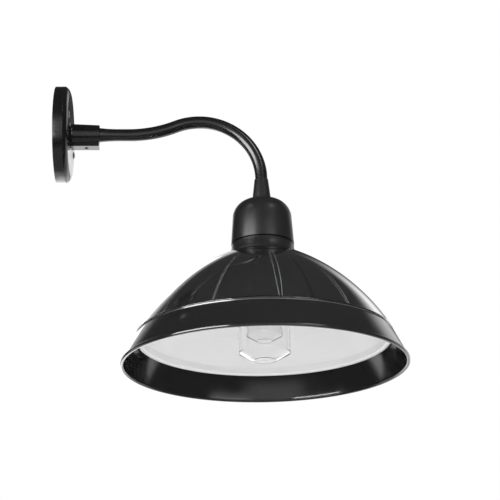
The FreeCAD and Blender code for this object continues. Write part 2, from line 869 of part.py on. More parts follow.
def neck_collar():
    """The skirted ring under the cap, with a spigot into the cap and a neck that stands on the frame."""
    spigot_outer = cap_foot_radius - cap_wall - collar_spigot_gap
    spigot_inner = spigot_outer - collar_spigot_wall
    neck_inner = collar_neck_radius - collar_neck_wall
    skirt_foot_z = dome_z(collar_foot_radius, -collar_skirt_gap)
    skirt_root_z = dome_z(collar_neck_radius, -collar_skirt_gap)
    neck_foot_z = plate_top_z + neck_seal_thickness
    waist_z = (tray_foot_z + skirt_foot_z) / 2
    waist_radius = collar_top_radius + (collar_foot_radius - collar_top_radius) * collar_waist_share
    collar = turned(
        (collar_shelf_radius, tray_foot_z),
        (spigot_inner, tray_foot_z),
        (spigot_inner, tray_foot_z + collar_spigot_height),
        (spigot_outer, tray_foot_z + collar_spigot_height),
        (spigot_outer, tray_foot_z),
        (collar_top_radius, tray_foot_z),
        ((waist_radius, waist_z), (collar_foot_radius, skirt_foot_z)),
        (collar_neck_radius, skirt_root_z),
        (collar_neck_radius, neck_foot_z),
        (neck_inner, neck_foot_z),
        (neck_inner, shelf_foot_z),
        (collar_shelf_radius, shelf_foot_z),
    )
    post = rod(cap_post_radius, plate_top_z, shelf_foot_z, cap_post_circle)
    collar = collar.multiFuse(around(post, cap_post_count, cap_post_start_angle))
    bore = rod(cap_screw_radius + fit_gap, plate_top_z - overrun, tray_foot_z + overrun, cap_post_circle)
    for copy in around(bore, cap_post_count, cap_post_start_angle):
        collar = collar.cut(copy)
    return collar.removeSplitter()


def neck_seal():
    """Flat rubber ring between the collar's neck and the frame's top plate."""
    return ring(collar_neck_radius - collar_neck_wall, collar_neck_radius, plate_top_z,
                plate_top_z + neck_seal_thickness)


def cover_seal():
    """Thin rubber ring between the collar's skirt and the clear cover."""
    near = collar_neck_radius + cover_top_gap + fit_gap
    far = collar_foot_radius - cover_seal_margin
    middle = (near + far) / 2
    low = -bond_gap / 2
    high = -collar_skirt_gap + bond_gap / 2
    return turned(
        (near, dome_z(near, low)),
        ((middle, dome_z(middle, low)), (far, dome_z(far, low))),
        (far, dome_z(far, high) - fit_gap),
        (near, dome_z(near, high) - fit_gap),
    )


def control_board():
    board = rod(board_radius, board_foot_z, board_top_z)
    hole = rod(board_screw_radius + fit_gap, board_foot_z - overrun, board_top_z + overrun, board_peg_circle)
    for copy in around(hole, cap_post_count, board_peg_start_angle):
        board = board.cut(copy)
    return board


def board_screws():
    head = rod(board_screw_head_radius, board_foot_z - board_screw_head_height, board_foot_z, board_peg_circle)
    shank_top = board_top_z + board_screw_grip - board_screw_radius
    shank = rod(board_screw_radius, board_foot_z, shank_top, board_peg_circle)
    return Part.makeCompound(around(head.fuse(shank), cap_post_count, board_peg_start_angle))


def board_parts():
    """Coil, chips and capacitors on the underside of the control board."""
    pieces = [ring(coil_bore_radius, coil_radius, board_foot_z - coil_height, board_foot_z, 0, part_spread)]
    pieces.append(block(chip_length, chip_width, board_foot_z - chip_height, board_foot_z))
    pieces.append(block(chip_width, chip_width, board_foot_z - chip_height, board_foot_z, part_spread))
    for side in (-1, 1):
        capacitor_x = side * capacitor_spacing / 2
        low = board_foot_z - capacitor_height
        pieces.append(rod(capacitor_radius, low, board_foot_z, capacitor_x, -part_spread))
    return Part.makeCompound(pieces)


# Dome group


def dome_shell(outer_inset, inner_inset, top_radius, foot_z):
    """One layer of the dome between two insets, from a top opening down to a foot."""
    outer_top_z = dome_z(top_radius, outer_inset)
    inner_top_z = dome_z(top_radius, inner_inset)
    return turned(
        (top_radius, outer_top_z),
        arc_step(outer_inset, outer_top_z, foot_z),
        (dome_r(foot_z, inner_inset), foot_z),
        arc_step(inner_inset, foot_z, inner_top_z),
    )


def dome_cover():
    opening = collar_neck_radius + cover_top_gap
    shell = dome_shell(0.0, cover_wall, opening, cover_foot_z)
    bead_z = cover_foot_z + cover_bead_radius
    bead_r = dome_r(bead_z, 0.0) - cover_bead_radius / 2
    bead_inner = dome_r(bead_z, cover_wall / 2)
    bead = turned(
        (bead_inner, bead_z + cover_bead_radius),
        (bead_r, bead_z + cover_bead_radius),
        ((bead_r + cover_bead_radius, bead_z), (bead_r, cover_foot_z)),
        (bead_inner, cover_foot_z),
    )
    return shell.fuse(bead).removeSplitter()


def seam_cutter(low, high):
    """A long lens that parts two panels, widest at its middle and drawn in to a slit at both ends."""
    end = panel_seam_end_width / 2
    middle = panel_seam_middle_width / 2
    centre = (low + high) / 2
    face = outline(
        lambda across, height: FreeCAD.Vector(0, across, height),
        (-end, low),
        ((-middle, centre), (-end, high)),
        (end, high),
        ((middle, centre), (end, low)),
    )
    return face.extrude(FreeCAD.Vector(dome_foot_radius + overrun, 0, 0))


def solar_panels():
    inner_inset = panel_inset + panel_thickness
    foot_z = dome_foot_z + panel_foot_margin
    shell = dome_shell(panel_inset, inner_inset, panel_top_radius, foot_z)
    cutter = seam_cutter(foot_z - overrun, dome_z(panel_top_radius, panel_inset) + overrun)
    return shell.cut(around(cutter, panel_count, panel_seam_angle))


def dome_frame():
    opening = collar_neck_radius + cover_top_gap
    foot_top_z = cover_foot_z + frame_foot_height
    foot_outer = dome_r(cover_foot_z, cover_wall) - bond_gap
    inner_meet_r = dome_r(plate_foot_z, frame_inner_inset)
    frame = turned(
        (holder_neck_radius + fit_gap, plate_top_z),
        (opening, plate_top_z),
        arc_step(frame_inset, plate_top_z, foot_top_z),
        (foot_outer - (dome_r(cover_foot_z, 0.0) - dome_r(foot_top_z, 0.0)), foot_top_z),
        (foot_outer, cover_foot_z),
        (frame_foot_radius, cover_foot_z),
        arc_step(frame_inner_inset, cover_foot_z, plate_foot_z),
        (inner_meet_r - frame_wall, plate_foot_z),
        (holder_neck_radius + fit_gap, plate_foot_z),
    )
    low = plate_foot_z - overrun
    high = plate_top_z + overrun
    cap_hole = rod(cap_screw_radius + fit_gap, low, high, cap_post_circle)
    holder_hole = rod(holder_screw_radius + fit_gap, low, high, holder_screw_circle)
    rim_hole_top = cover_foot_z + rim_screw_grip
    rim_hole = rod(rim_screw_radius + fit_gap, cover_foot_z - overrun, rim_hole_top, rim_screw_circle)
    cuts = around(cap_hole, cap_post_count, cap_post_start_angle)
    cuts += around(holder_hole, holder_screw_count, holder_screw_start_angle)
    cuts += around(rim_hole, rim_screw_count, rim_screw_start_angle)
    lead_hole = lead_radius + lead_hole_gap
    for angle in lead_angles():
        hole = rod(lead_hole, low, high, lead_post_circle)
        cuts.append(swung(hole, angle))
    for angle in panel_lead_angles():
        hole = rod(lead_hole, low, high, panel_lead_circle)
        cuts.append(swung(hole, angle))
    for cutter in cuts:
        frame = frame.cut(cutter)
    return frame.removeSplitter()


def foot_seal():
    outer = dome_r(cover_foot_z, 0.0) - bond_gap
    seal = ring(rim_ledge_radius + bond_gap, outer, rim_top_z, cover_foot_z)
    hole = rod(rim_screw_radius + fit_gap, rim_top_z - overrun, cover_foot_z + overrun, rim_screw_circle)
    for copy in around(hole, rim_screw_count, rim_screw_start_angle):
        seal = seal.cut(copy)
    return seal


def rim_ring():
    lip_top_z = rim_foot_z + rim_lip_height
    slope = (rim_foot_radius - rim_top_radius) / rim_height
    lip_start_r = rim_top_radius + (rim_top_z - lip_top_z) * slope
    lip_inner_r = rim_foot_radius - rim_lip_width
    ledge_foot_z = rim_top_z - rim_ledge_thickness
    wall_top_r = rim_top_radius + rim_ledge_thickness * slope - rim_wall
    wall_foot_r = lip_start_r - rim_wall
    lip_bulge_z = rim_foot_z + rim_lip_height * rim_lip_bulge_share
    lip_rise_z = lip_bulge_z + rim_lip_height * rim_lip_rise_share
    lip_edge_r = rim_foot_radius - rim_lip_width * rim_lip_edge_share
    lip_corner_r = rim_foot_radius - rim_lip_width * rim_lip_corner_share
    lip_curl_r = rim_foot_radius - rim_lip_width * rim_lip_curl_share
    lip_curl_z = rim_foot_z + rim_lip_height * rim_lip_curl_share
    lip_heel_r = lip_inner_r + rim_lip_width * rim_lip_heel_share
    lip_heel_z = rim_foot_z + rim_lip_height * rim_lip_heel_share
    lip_inner_z = rim_foot_z + rim_lip_height * rim_lip_inner_share
    corner_r = rim_top_radius - rim_corner * rim_corner_share
    corner_z = rim_top_z - rim_corner * rim_corner_share
    ring_body = turned(
        (rim_ledge_radius, rim_top_z),
        (rim_top_radius - rim_corner, rim_top_z),
        ((corner_r, corner_z), (rim_top_radius + rim_corner * slope, rim_top_z - rim_corner)),
        (lip_start_r, lip_top_z),
        ((lip_edge_r, lip_rise_z), (rim_foot_radius, lip_bulge_z)),
        ((lip_curl_r, lip_curl_z), (lip_corner_r, rim_foot_z)),
        ((lip_heel_r, lip_heel_z), (lip_inner_r, lip_inner_z)),
        (wall_foot_r, lip_top_z),
        (wall_top_r, ledge_foot_z),
        (rim_ledge_radius, ledge_foot_z),
    )
    hole = rod(rim_screw_radius + fit_gap, ledge_foot_z - overrun, rim_top_z + overrun, rim_screw_circle)
    for copy in around(hole, rim_screw_count, rim_screw_start_angle):
        ring_body = ring_body.cut(copy)
    return ring_body


def rim_screws():
    seat = rim_top_z - rim_ledge_thickness
    head = rod(rim_screw_head_radius, seat - rim_screw_head_height, seat, rim_screw_circle)
    shank = rod(rim_screw_radius, seat, cover_foot_z + rim_screw_grip - fit_gap, rim_screw_circle)
    return Part.makeCompound(around(head.fuse(shank), rim_screw_count, rim_screw_start_angle))


def reflector():
    inner_inset = reflector_inset + reflector_wall
    hole = holder_nose_radius + fit_gap
    edge = reflector_edge_radius
    outer_edge = edge + reflector_wall
    flange_foot_z = rim_top_z - reflector_flange_drop
    flange_top_z = flange_foot_z + reflector_wall
    flange_radius = edge + reflector_flange_width
    outer_flat_r = dome_r(reflector_top_z, reflector_inset)
    inner_flat_r = dome_r(reflector_flat_z, inner_inset)
    bend = reflector_flange_round
    diagonal = bend * (1 - math.sqrt(0.5))
    outer_bend = bend - reflector_wall
    outer_diagonal = outer_bend * (1 - math.sqrt(0.5))
    dish = turned(
        (hole, reflector_top_z),
        (outer_flat_r, reflector_top_z),
        arc_step(reflector_inset, reflector_top_z, dome_z(outer_edge, reflector_inset)),
        (outer_edge, flange_top_z + outer_bend),
        ((outer_edge + outer_diagonal, flange_top_z + outer_diagonal), (outer_edge + outer_bend, flange_top_z)),
        (flange_radius, flange_top_z),
        (flange_radius, flange_foot_z),
        (edge + bend, flange_foot_z),
        ((edge + diagonal, flange_foot_z + diagonal), (edge, flange_foot_z + bend)),
        (edge, dome_z(edge, inner_inset)),
        arc_step(inner_inset, dome_z(edge, inner_inset), reflector_flat_z),
        (inner_flat_r - reflector_wall, reflector_flat_z),
        (hole, reflector_flat_z),
    )
    bushing = rod(switch_bushing_radius + fit_gap, reflector_flat_z - overrun, reflector_top_z + overrun,
                  switch_circle)
    return dish.cut(swung(bushing, switch_angle))


# Lamp holder group


def lamp_holder():
    shoulder_z = reflector_top_z
    flange_foot_z = plate_foot_z - holder_flange_thickness
    holder = turned(
        (0, holder_top_z),
        (holder_neck_radius, holder_top_z),
        (holder_neck_radius, plate_foot_z),
        (holder_flange_radius, plate_foot_z),
        (holder_flange_radius, flange_foot_z),
        (holder_body_radius, flange_foot_z),
        (holder_body_radius, shoulder_z),
        (holder_nose_radius, shoulder_z),
        (holder_nose_radius, holder_nose_z),
        (holder_bore_radius, holder_nose_z),
        (holder_bore_radius, holder_ceiling_z),
        (0, holder_ceiling_z),
    )
    low = flange_foot_z - overrun
    high = plate_foot_z + overrun
    hole = rod(holder_screw_radius + fit_gap, low, high, holder_screw_circle)
    for copy in around(hole, holder_screw_count, holder_screw_start_angle):
        holder = holder.cut(copy)
    return holder


def holder_screws():
    seat = plate_foot_z - holder_flange_thickness
    head = rod(holder_screw_head_radius, seat - holder_screw_head_height, seat, holder_screw_circle)
    shank = rod(holder_screw_radius, seat, plate_top_z, holder_screw_circle)
    return Part.makeCompound(around(head.fuse(shank), holder_screw_count, holder_screw_start_angle))


def socket_shell():
    low = holder_nose_z + shell_end_inset
    high = holder_ceiling_z - shell_end_inset
    return ring(shell_radius, shell_radius + shell_wall, low, high)


def socket_contact():
    return rod(socket_contact_radius, holder_ceiling_z - socket_contact_thickness, holder_ceiling_z)


def socket_ring():
    """The threaded ring that clamps the reflector up against the lamp holder's shoulder."""
    body = ring(holder_nose_radius + fit_gap, socket_ring_radius, reflector_flat_z - socket_ring_thickness,
                reflector_flat_z)
    edges = []
    for edge in body.Edges:
        low = abs(edge.BoundBox.ZMax - body.BoundBox.ZMin) < fit_gap
        wide = edge.BoundBox.XMax > socket_ring_radius - fit_gap
        if low and wide:
            edges.append(edge)
    return body.makeFillet(socket_ring_round, edges)


# Lamp group


def bulb_contact():
    return rod(bulb_tip_radius, tip_foot_z, tip_top_z)


def bulb_insulator():
    outer = bulb_thread_radius - bulb_thread_depth - bulb_base_wall - fit_gap
    foot = base_top_z - bulb_insulator_height
    return turned(
        (0, foot),
        (outer, foot),
        (outer, base_top_z),
        (bulb_tip_radius, tip_foot_z),
        (0, tip_foot_z),
    )


def bulb_base():
    """The rolled screw shell: its crests and roots are rings one pitch apart."""
    crest = bulb_thread_radius
    root = crest - bulb_thread_depth
    inner = root - bulb_base_wall
    quarter = bulb_thread_pitch / 4
    steps = [(root, base_top_z)]
    for number in range(bulb_thread_turns):
        top = base_top_z - number * bulb_thread_pitch
        steps.append(((crest, top - 2 * quarter), (root, top - 4 * quarter)))
    steps.append((root, neck_top_z))
    steps.append((inner, neck_top_z))
    return turned((inner, base_top_z), *steps)


def bulb_neck():
    """The white housing between the screw base and the jar, with a plug up into the base."""
    plug_radius = bulb_thread_radius - bulb_thread_depth - bulb_base_wall - fit_gap
    band_top_z = jar_top_z + bulb_neck_band
    middle_z = (neck_top_z + band_top_z) / 2 - bulb_neck_swell
    middle_r = (bulb_neck_top_radius + jar_radius) / 2 + bulb_neck_swell
    spigot = jar_radius - jar_wall - fit_gap
    inner_top_radius = bulb_neck_top_radius - bulb_neck_wall
    return turned(
        (plug_radius - bulb_neck_wall, neck_top_z + bulb_plug_height),
        (plug_radius, neck_top_z + bulb_plug_height),
        (plug_radius, neck_top_z),
        (bulb_neck_top_radius, neck_top_z),
        ((middle_r, middle_z), (jar_radius, band_top_z)),
        (jar_radius, jar_top_z),
        (spigot, jar_top_z),
        (spigot, plug_foot_z),
        (spigot - bulb_neck_wall, plug_foot_z),
        (spigot - bulb_neck_wall, band_top_z),
        ((middle_r - bulb_neck_wall, middle_z), (inner_top_radius, neck_top_z - bulb_neck_wall)),
        (plug_radius - bulb_neck_wall, neck_top_z - bulb_neck_wall),
    )


def cup_outline(radius, top_z, foot_z, chamfer, flat, wall):
    """A straight cup with a chamfered, flat-bottomed foot."""
    lean = wall * cup_lean_share
    return turned(
        (radius, top_z),
        (radius, foot_z + chamfer),
        (flat, foot_z),
        (0, foot_z),
        (0, foot_z + wall),
        (flat - lean, foot_z + wall),
        (radius - wall, foot_z + chamfer + lean),
        (radius - wall, top_z),
    )


def bulb_jar():
    return cup_outline(jar_radius, jar_top_z, jar_foot_z, jar_chamfer_height, jar_flat_radius, jar_wall)


def inner_lens():
    foot_z = led_board_foot_z - lens_length
    cup = cup_outline(lens_radius, led_board_foot_z, foot_z, lens_chamfer_height, lens_flat_radius, lens_wall)
    flange = ring(lens_radius - lens_wall / 2, lens_radius + lens_flange_width,
                  led_board_foot_z - lens_flange_thickness, led_board_foot_z)
    return cup.fuse(flange).removeSplitter()


def led_board():
    return rod(led_board_radius, led_board_foot_z, plug_foot_z)


def leds():
    led = block(led_size, led_size, led_board_foot_z - led_height, led_board_foot_z, led_circle)
    return Part.makeCompound(around(led, led_count, 0.0))


# Switch group


def at_switch(shape):
    shape.translate(FreeCAD.Vector(switch_circle, 0, 0))
    return swung(shape, switch_angle)


def switch_body():
    chamber_radius = button_radius + button_collar_width + moving_gap
    body = turned(
        (0, switch_top_z),
        (switch_body_radius, switch_top_z),
        (switch_body_radius, reflector_top_z),
        (switch_bushing_radius, reflector_top_z),
        (switch_bushing_radius, switch_foot_z),
        (button_bore_radius, switch_foot_z),
        (button_bore_radius, button_shoulder_z),
        (chamber_radius, button_shoulder_z),
        (chamber_radius, switch_chamber_top_z),
        (0, switch_chamber_top_z),
    )
    return at_switch(body)


def switch_nut():
    nut = hexagon(switch_nut_flats, reflector_flat_z - switch_nut_thickness, reflector_flat_z)
    nut = nut.cut(rod(switch_bushing_radius + fit_gap, switch_foot_z - overrun, reflector_top_z))
    return at_switch(nut)


def mode_button():
    collar_radius = button_radius + button_collar_width
    collar_foot_z = button_shoulder_z + moving_gap
    round_r = button_radius - button_crown * button_round_share
    round_z = button_foot_z + button_crown * button_round_share
    button = turned(
        (0, button_foot_z),
        (button_radius - button_crown, button_foot_z),
        ((round_r, round_z), (button_radius, button_foot_z + button_crown)),
        (button_radius, collar_foot_z),
        (collar_radius, collar_foot_z),
        (collar_radius, button_top_z),
        (0, button_top_z),
    )
    return at_switch(button)


def button_spring():
    radius = button_radius - button_spring_wire
    low = button_top_z + fit_gap
    high = switch_chamber_top_z - fit_gap
    return at_switch(coil(radius, button_spring_wire, button_spring_turns, low, high))


# Leads


def panel_lead_angles():
    return (panel_lead_angle - lead_pair_degrees, panel_lead_angle + lead_pair_degrees)


def switch_lead_angles():
    return (switch_angle - lead_pair_degrees, switch_angle + lead_pair_degrees)


def lead_angles():
    return panel_lead_angles() + switch_lead_angles()


def lead_run(start_radius, start_z, turn_z):
    """A lead from under the dome, in under the frame's plate, up the neck and across to the board."""
    rise_z = board_foot_z - lead_rise_level
    corners = [
        upright(start_radius, start_z),
        upright(start_radius, turn_z),
        upright(lead_post_circle, turn_z),
        upright(lead_post_circle, rise_z),
        upright(lead_board_circle, rise_z),
        upright(lead_board_circle, board_foot_z),
    ]
    return bent_lead(corners)


def panel_leads():
    start_z = dome_z(panel_lead_circle, panel_inset + panel_thickness) - lead_radius
    run = lead_run(panel_lead_circle, start_z, plate_foot_z - lead_drop_level)
    return Part.makeCompound([swung(run, angle) for angle in panel_lead_angles()])


def switch_leads():
    run = lead_run(switch_lead_circle, switch_top_z, plate_foot_z - lead_bend)
    return Part.makeCompound([swung(run, angle) for angle in switch_lead_angles()])


def lamp_leads():
    lead = rod(lead_radius, holder_top_z, board_foot_z, lamp_lead_circle)
    return Part.makeCompound(around(lead, lamp_lead_count, lamp_lead_start_angle))


def at_shade(shape):
    shape.translate(FreeCAD.Vector(shade_x, 0, 0))
    return shape


def all_nodes():
    nodes = {
        "wall_plate": wall_plate(),
        "plate_gasket": plate_gasket(),
        "wall_bracket": wall_bracket(),
        "canopy_screws": canopy_screws(),
        "arm_socket": arm_socket(),
        "socket_nut": socket_nut(),
        "arm_lock_screw": arm_lock_screw(),
        "arm_tube": arm_tube(),
    }
    shade_makers = (
        arm_ferrule, arm_washer, arm_locknut, cap_top, cap_screws, battery_tray, tray_lid, battery_cells,
        cell_contacts, cell_springs, neck_collar, neck_seal, cover_seal, control_board, board_screws, board_parts,
        dome_cover, solar_panels, dome_frame, foot_seal, rim_ring, rim_screws, reflector, lamp_holder,
        holder_screws, socket_shell, socket_contact, socket_ring, bulb_contact, bulb_insulator, bulb_base,
        bulb_neck, bulb_jar, inner_lens, led_board, leds, switch_body, switch_nut, mode_button, button_spring,
        panel_leads, switch_leads, lamp_leads,
    )
    for maker in shade_makers:
        nodes[maker.__name__] = at_shade(maker())
    return nodes


os.makedirs("parts", exist_ok=True)
for name, shape in all_nodes().items():
    shape.exportStep("parts/" + name + ".step")
    print(name, len(shape.Solids), "solids", round(shape.Volume, 1), "mm3", shape.isValid())
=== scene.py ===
import json
import math

import bpy
from mathutils import Matrix, Vector


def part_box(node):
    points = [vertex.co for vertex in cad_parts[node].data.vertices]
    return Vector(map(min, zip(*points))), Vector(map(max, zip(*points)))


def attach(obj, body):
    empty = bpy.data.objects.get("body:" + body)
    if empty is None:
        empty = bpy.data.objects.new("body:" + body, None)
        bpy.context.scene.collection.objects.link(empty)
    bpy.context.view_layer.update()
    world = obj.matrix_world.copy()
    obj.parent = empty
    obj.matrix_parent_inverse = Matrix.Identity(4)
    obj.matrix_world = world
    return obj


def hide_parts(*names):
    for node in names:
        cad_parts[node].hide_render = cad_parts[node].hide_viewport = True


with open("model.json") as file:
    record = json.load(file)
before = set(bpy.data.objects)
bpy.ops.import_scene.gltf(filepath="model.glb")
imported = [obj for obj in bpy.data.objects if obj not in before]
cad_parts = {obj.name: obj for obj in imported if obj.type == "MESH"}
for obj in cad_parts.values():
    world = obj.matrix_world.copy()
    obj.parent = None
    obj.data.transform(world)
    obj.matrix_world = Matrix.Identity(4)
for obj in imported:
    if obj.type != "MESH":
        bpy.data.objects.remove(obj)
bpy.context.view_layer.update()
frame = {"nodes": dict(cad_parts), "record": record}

nodes = frame["nodes"]

MM = 0.001
TURN = math.tau
QUARTER = math.pi / 2
SHARP_ANGLE = math.radians(35.0)

# A rounded corner takes up at most this share of either edge beside it
MOST_SETBACK = 0.49
# A point nearer than this to the axis of a turned outline, in millimetres, lies on it
ON_AXIS = 1e-6

# Places in millimetres, taken from the frame where a node gives them
SHADE_X = sum(corner.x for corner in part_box("rim_ring")) / 2 / MM
COVER_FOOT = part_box("dome_cover")[0].z / MM
RIM_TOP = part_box("rim_ring")[1].z / MM
RIM_HEIGHT = 36.8
RIM_FOOT = RIM_TOP - RIM_HEIGHT
CAP_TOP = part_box("cap_top")[1].z / MM
CAP_HEIGHT = 61.0
COLLAR_TOP = CAP_TOP - CAP_HEIGHT
PLATE_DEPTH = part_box("wall_plate")[1].x / MM
JAR_RADIUS = (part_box("bulb_jar")[1].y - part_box("bulb_jar")[0].y) / 2 / MM
JAR_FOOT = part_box("bulb_jar")[0].z / MM
JAR_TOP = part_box("bulb_jar")[1].z / MM
LENS_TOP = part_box("inner_lens")[1].z / MM
LENS_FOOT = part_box("inner_lens")[0].z / MM
FLAT_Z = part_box("socket_ring")[1].z / MM

# The arm's tube: its radius, how much wider it is at its root, and the bore of what is pushed onto it
TUBE_RADIUS = 8.0
TUBE_FLARE = 1.4
SLEEVE_BORE = 8.1

# The inner corner of a chamfered glass lies this share of its wall further in
CHAMFER_LEAN = 0.45

# The dome's arc: its radius, and its centre's distance from the axis and height
DOME_ARC = 262.3
DOME_CENTRE_R = -67.959
DOME_CENTRE_Z = COVER_FOOT - 130.406


def dome_z(radius, inset):
    """The height of the dome's arc, inset along its normal, at a distance from the axis."""
    return DOME_CENTRE_Z + math.sqrt((DOME_ARC - inset) ** 2 - (radius - DOME_CENTRE_R) ** 2)


def dome_r(height, inset):
    """The distance from the axis of the dome's arc, inset along its normal, at a height."""
    return DOME_CENTRE_R + math.sqrt((DOME_ARC - inset) ** 2 - (height - DOME_CENTRE_Z) ** 2)


def dome_run(inset, start_z, end_z, count):
    """Points of the dome's arc between two heights, as radius and height."""
    steps = [start_z + (end_z - start_z) * i / count for i in range(count + 1)]
    return [(dome_r(z, inset), z) for z in steps]


# Outlines


def arc_through(a, b, c, count=10):
    """Points from a to c on the circle through b, without the first one."""
    ax, ay, bx, by, cx, cy = *a, *b, *c
    d = 2 * (ax * (by - cy) + bx * (cy - ay) + cx * (ay - by))
    aa, bb, cc = ax ** 2 + ay ** 2, bx ** 2 + by ** 2, cx ** 2 + cy ** 2
    ux = (aa * (by - cy) + bb * (cy - ay) + cc * (ay - by)) / d
    uy = (aa * (cx - bx) + bb * (ax - cx) + cc * (bx - ax)) / d
    radius = math.hypot(ax - ux, ay - uy)
    start = math.atan2(ay - uy, ax - ux)
    sweep = (math.atan2(cy - uy, cx - ux) - start) % TURN
    middle = (math.atan2(by - uy, bx - ux) - start) % TURN
    if middle > sweep:
        sweep -= TURN
    points = []
    for i in range(1, count + 1):
        angle = start + sweep * i / count
        points.append((ux + radius * math.cos(angle), uy + radius * math.sin(angle)))
    return points


def rounded(corners, count=5):
    """A closed outline whose corners (x, y, radius) are rounded; a corner of two numbers stays sharp."""
    points = []
    total = len(corners)
    for i, corner in enumerate(corners):
        here = Vector(corner[:2])
        if len(corner) < 3 or corner[2] <= 0:
            points.append(tuple(here))
            continue
        back = Vector(corners[i - 1][:2]) - here
        ahead = Vector(corners[(i + 1) % total][:2]) - here
        half = math.tan(back.angle(ahead) / 2)
        setback = min(corner[2] / half, min(back.length, ahead.length) * MOST_SETBACK)
        radius = setback * half
        middle = (back.normalized() + ahead.normalized()).normalized()
        centre = here + middle * (radius / math.sin(back.angle(ahead) / 2))
        a = here + back.normalized() * setback
        b = here + ahead.normalized() * setback
        nearest = centre - middle * radius
        points.append(tuple(a))
        points.extend(arc_through(tuple(a), tuple(nearest), tuple(b), count))
    return points


# Meshes


def about_shade(radius, height, angle):
    """A point in metres round the shade's upright axis."""
    return (
        (SHADE_X + radius * math.cos(angle)) * MM,
        radius * math.sin(angle) * MM,
        height * MM,
    )


def about_arm(radius, reach, angle):
    """A point in metres round the arm's level axis, where reach is the distance from the wall."""
    return reach * MM, radius * math.cos(angle) * MM, radius * math.sin(angle) * MM


def outward(points, faces):
    """The faces of a closed mesh, turned so that they look outwards."""
    volume = 0.0
    for face in faces:
        first = Vector(points[face[0]])
        for i in range(1, len(face) - 1):
            volume += first.dot(Vector(points[face[i]]).cross(Vector(points[face[i + 1]])))
    return faces if volume > 0 else [face[::-1] for face in faces]


def loft(loops):
    """A closed mesh through loops of points; each end is closed by quads across the loop."""
    size = len(loops[0])
    half = size // 2
    points = [point for loop in loops for point in loop]
    faces = []
    for k in range(len(loops) - 1):
        here, after = k * size, (k + 1) * size
        for i in range(size):
            j = (i + 1) % size
            faces.append([here + i, here + j, after + j, after + i])
    last = (len(loops) - 1) * size
    for i in range(half - 1):
        across = [i, i + 1, size - 2 - i, size - 1 - i]
        faces.append(across[::-1])
        faces.append([last + c for c in across])
    return points, outward(points, faces)


def mesh_object(name, points, faces, body, materials, stands_for):
    """A smooth piece with sharp edges kept, which rides on a body and replaces CAD nodes."""
    mesh = bpy.data.meshes.new(name)
    mesh.from_pydata(points, [], faces)
    mesh.update()
    mesh.polygons.foreach_set("use_smooth", [True] * len(mesh.polygons))
    mesh.set_sharp_from_angle(angle=SHARP_ANGLE)
    piece = bpy.data.objects.new(name, mesh)
    bpy.context.scene.collection.objects.link(piece)
    for look in materials:
        mesh.materials.append(look)
    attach(piece, body)
    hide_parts(*stands_for)
    return piece


def spin(outline, place, steps):
    """Points and faces of a closed outline turned right round."""
    points, faces, rings = [], [], []
    for radius, height in outline:
        if radius < ON_AXIS:
            rings.append([len(points)] * steps)
            points.append(place(0.0, height, 0.0))
            continue
        start = len(points)
        rings.append(list(range(start, start + steps)))
        points.extend(place(radius, height, TURN * i / steps) for i in range(steps))
    count = len(rings)
    for k in range(count):
        here, after = rings[k], rings[(k + 1) % count]
        if here[0] == here[1] and after[0] == after[1]:
            continue
        for i in range(steps):
            j = (i + 1) % steps
            corners = [here[i], here[j], after[j], after[i]]
            faces.append([c for n, c in enumerate(corners) if c != corners[n - 1]])
    return points, faces


def lathe(name, outline, look, stands_for, body="lamp_arm", place=about_shade, steps=240):
    """A piece turned from a closed outline."""
    points, faces = spin(outline, place, steps)
    mesh_object(name, points, outward(points, faces), body, [look], stands_for)


# Materials


class Graph:
    """Adds nodes to the tree of a material or a world and joins them."""

    def __init__(self, owner, output):
        owner.use_nodes = True
        self.owner = owner
        self.tree = owner.node_tree
        self.tree.nodes.clear()
        self.out = self.add(output)
        self.places = self.add("ShaderNodeTexCoord").outputs

    def add(self, kind, **settings):
        node = self.tree.nodes.new(kind)
        for key, value in settings.items():
            setattr(node, key, value)
        return node

    def feed(self, socket, value):
        """Joins an input to a socket, or gives it a plain value."""
        if isinstance(value, bpy.types.NodeSocket):
            self.tree.links.new(value, socket)
        else:
            socket.default_value = value

    def set(self, node, **values):
        for key, value in values.items():
            self.feed(node.inputs[key.replace("_", " ")], value)
        return node

    def noise(self, scale, detail=3.0, roughness=0.5, source=None):
        node = self.add("ShaderNodeTexNoise")
        self.set(node, Vector=source or self.places["Object"], Scale=scale, Detail=detail, Roughness=roughness)
        return node.outputs["Fac"]

    def spread(self, value, low, high, new_low, new_high, kind="LINEAR"):
        """A value taken from one range to another."""
        node = self.add("ShaderNodeMapRange", interpolation_type=kind)
        self.set(node, Value=value, From_Min=low, From_Max=high, To_Min=new_low, To_Max=new_high)
        return node.outputs["Result"]

    def blend(self, share, first, second):
        """A mix of two colours, with the given share of the second."""
        node = self.add("ShaderNodeMix", data_type="RGBA")
        sockets = (node.inputs["Factor"], node.inputs[6], node.inputs[7])
        for socket, value in zip(sockets, (share, first, second)):
            self.feed(socket, value)
        return node.outputs[2]

    def maths(self, operation, *values):
        node = self.add("ShaderNodeMath", operation=operation)
        for socket, value in zip(node.inputs, values):
            self.feed(socket, value)
        return node.outputs[0]

    def bump(self, height, distance):
        return self.set(self.add("ShaderNodeBump"), Height=height, Distance=distance).outputs["Normal"]

    def ray(self, kind):
        """1 for light rays of a kind and 0 for all others."""
        return self.add("ShaderNodeLightPath").outputs[kind]

    def shader(self, kind, **values):
        return self.set(self.add(kind), **values).outputs[0]

    def mix(self, share, first, second):
        """A mix of two shaders, with the given share of the second."""
        node = self.add("ShaderNodeMixShader")
        for socket, value in zip(node.inputs, (share, first, second)):
            self.feed(socket, value)
        return node.outputs[0]

    def show(self, shader):
        """Ends the graph with a shader and gives back the material or the world."""
        self.feed(self.out.inputs["Surface"], shader)
        return self.owner


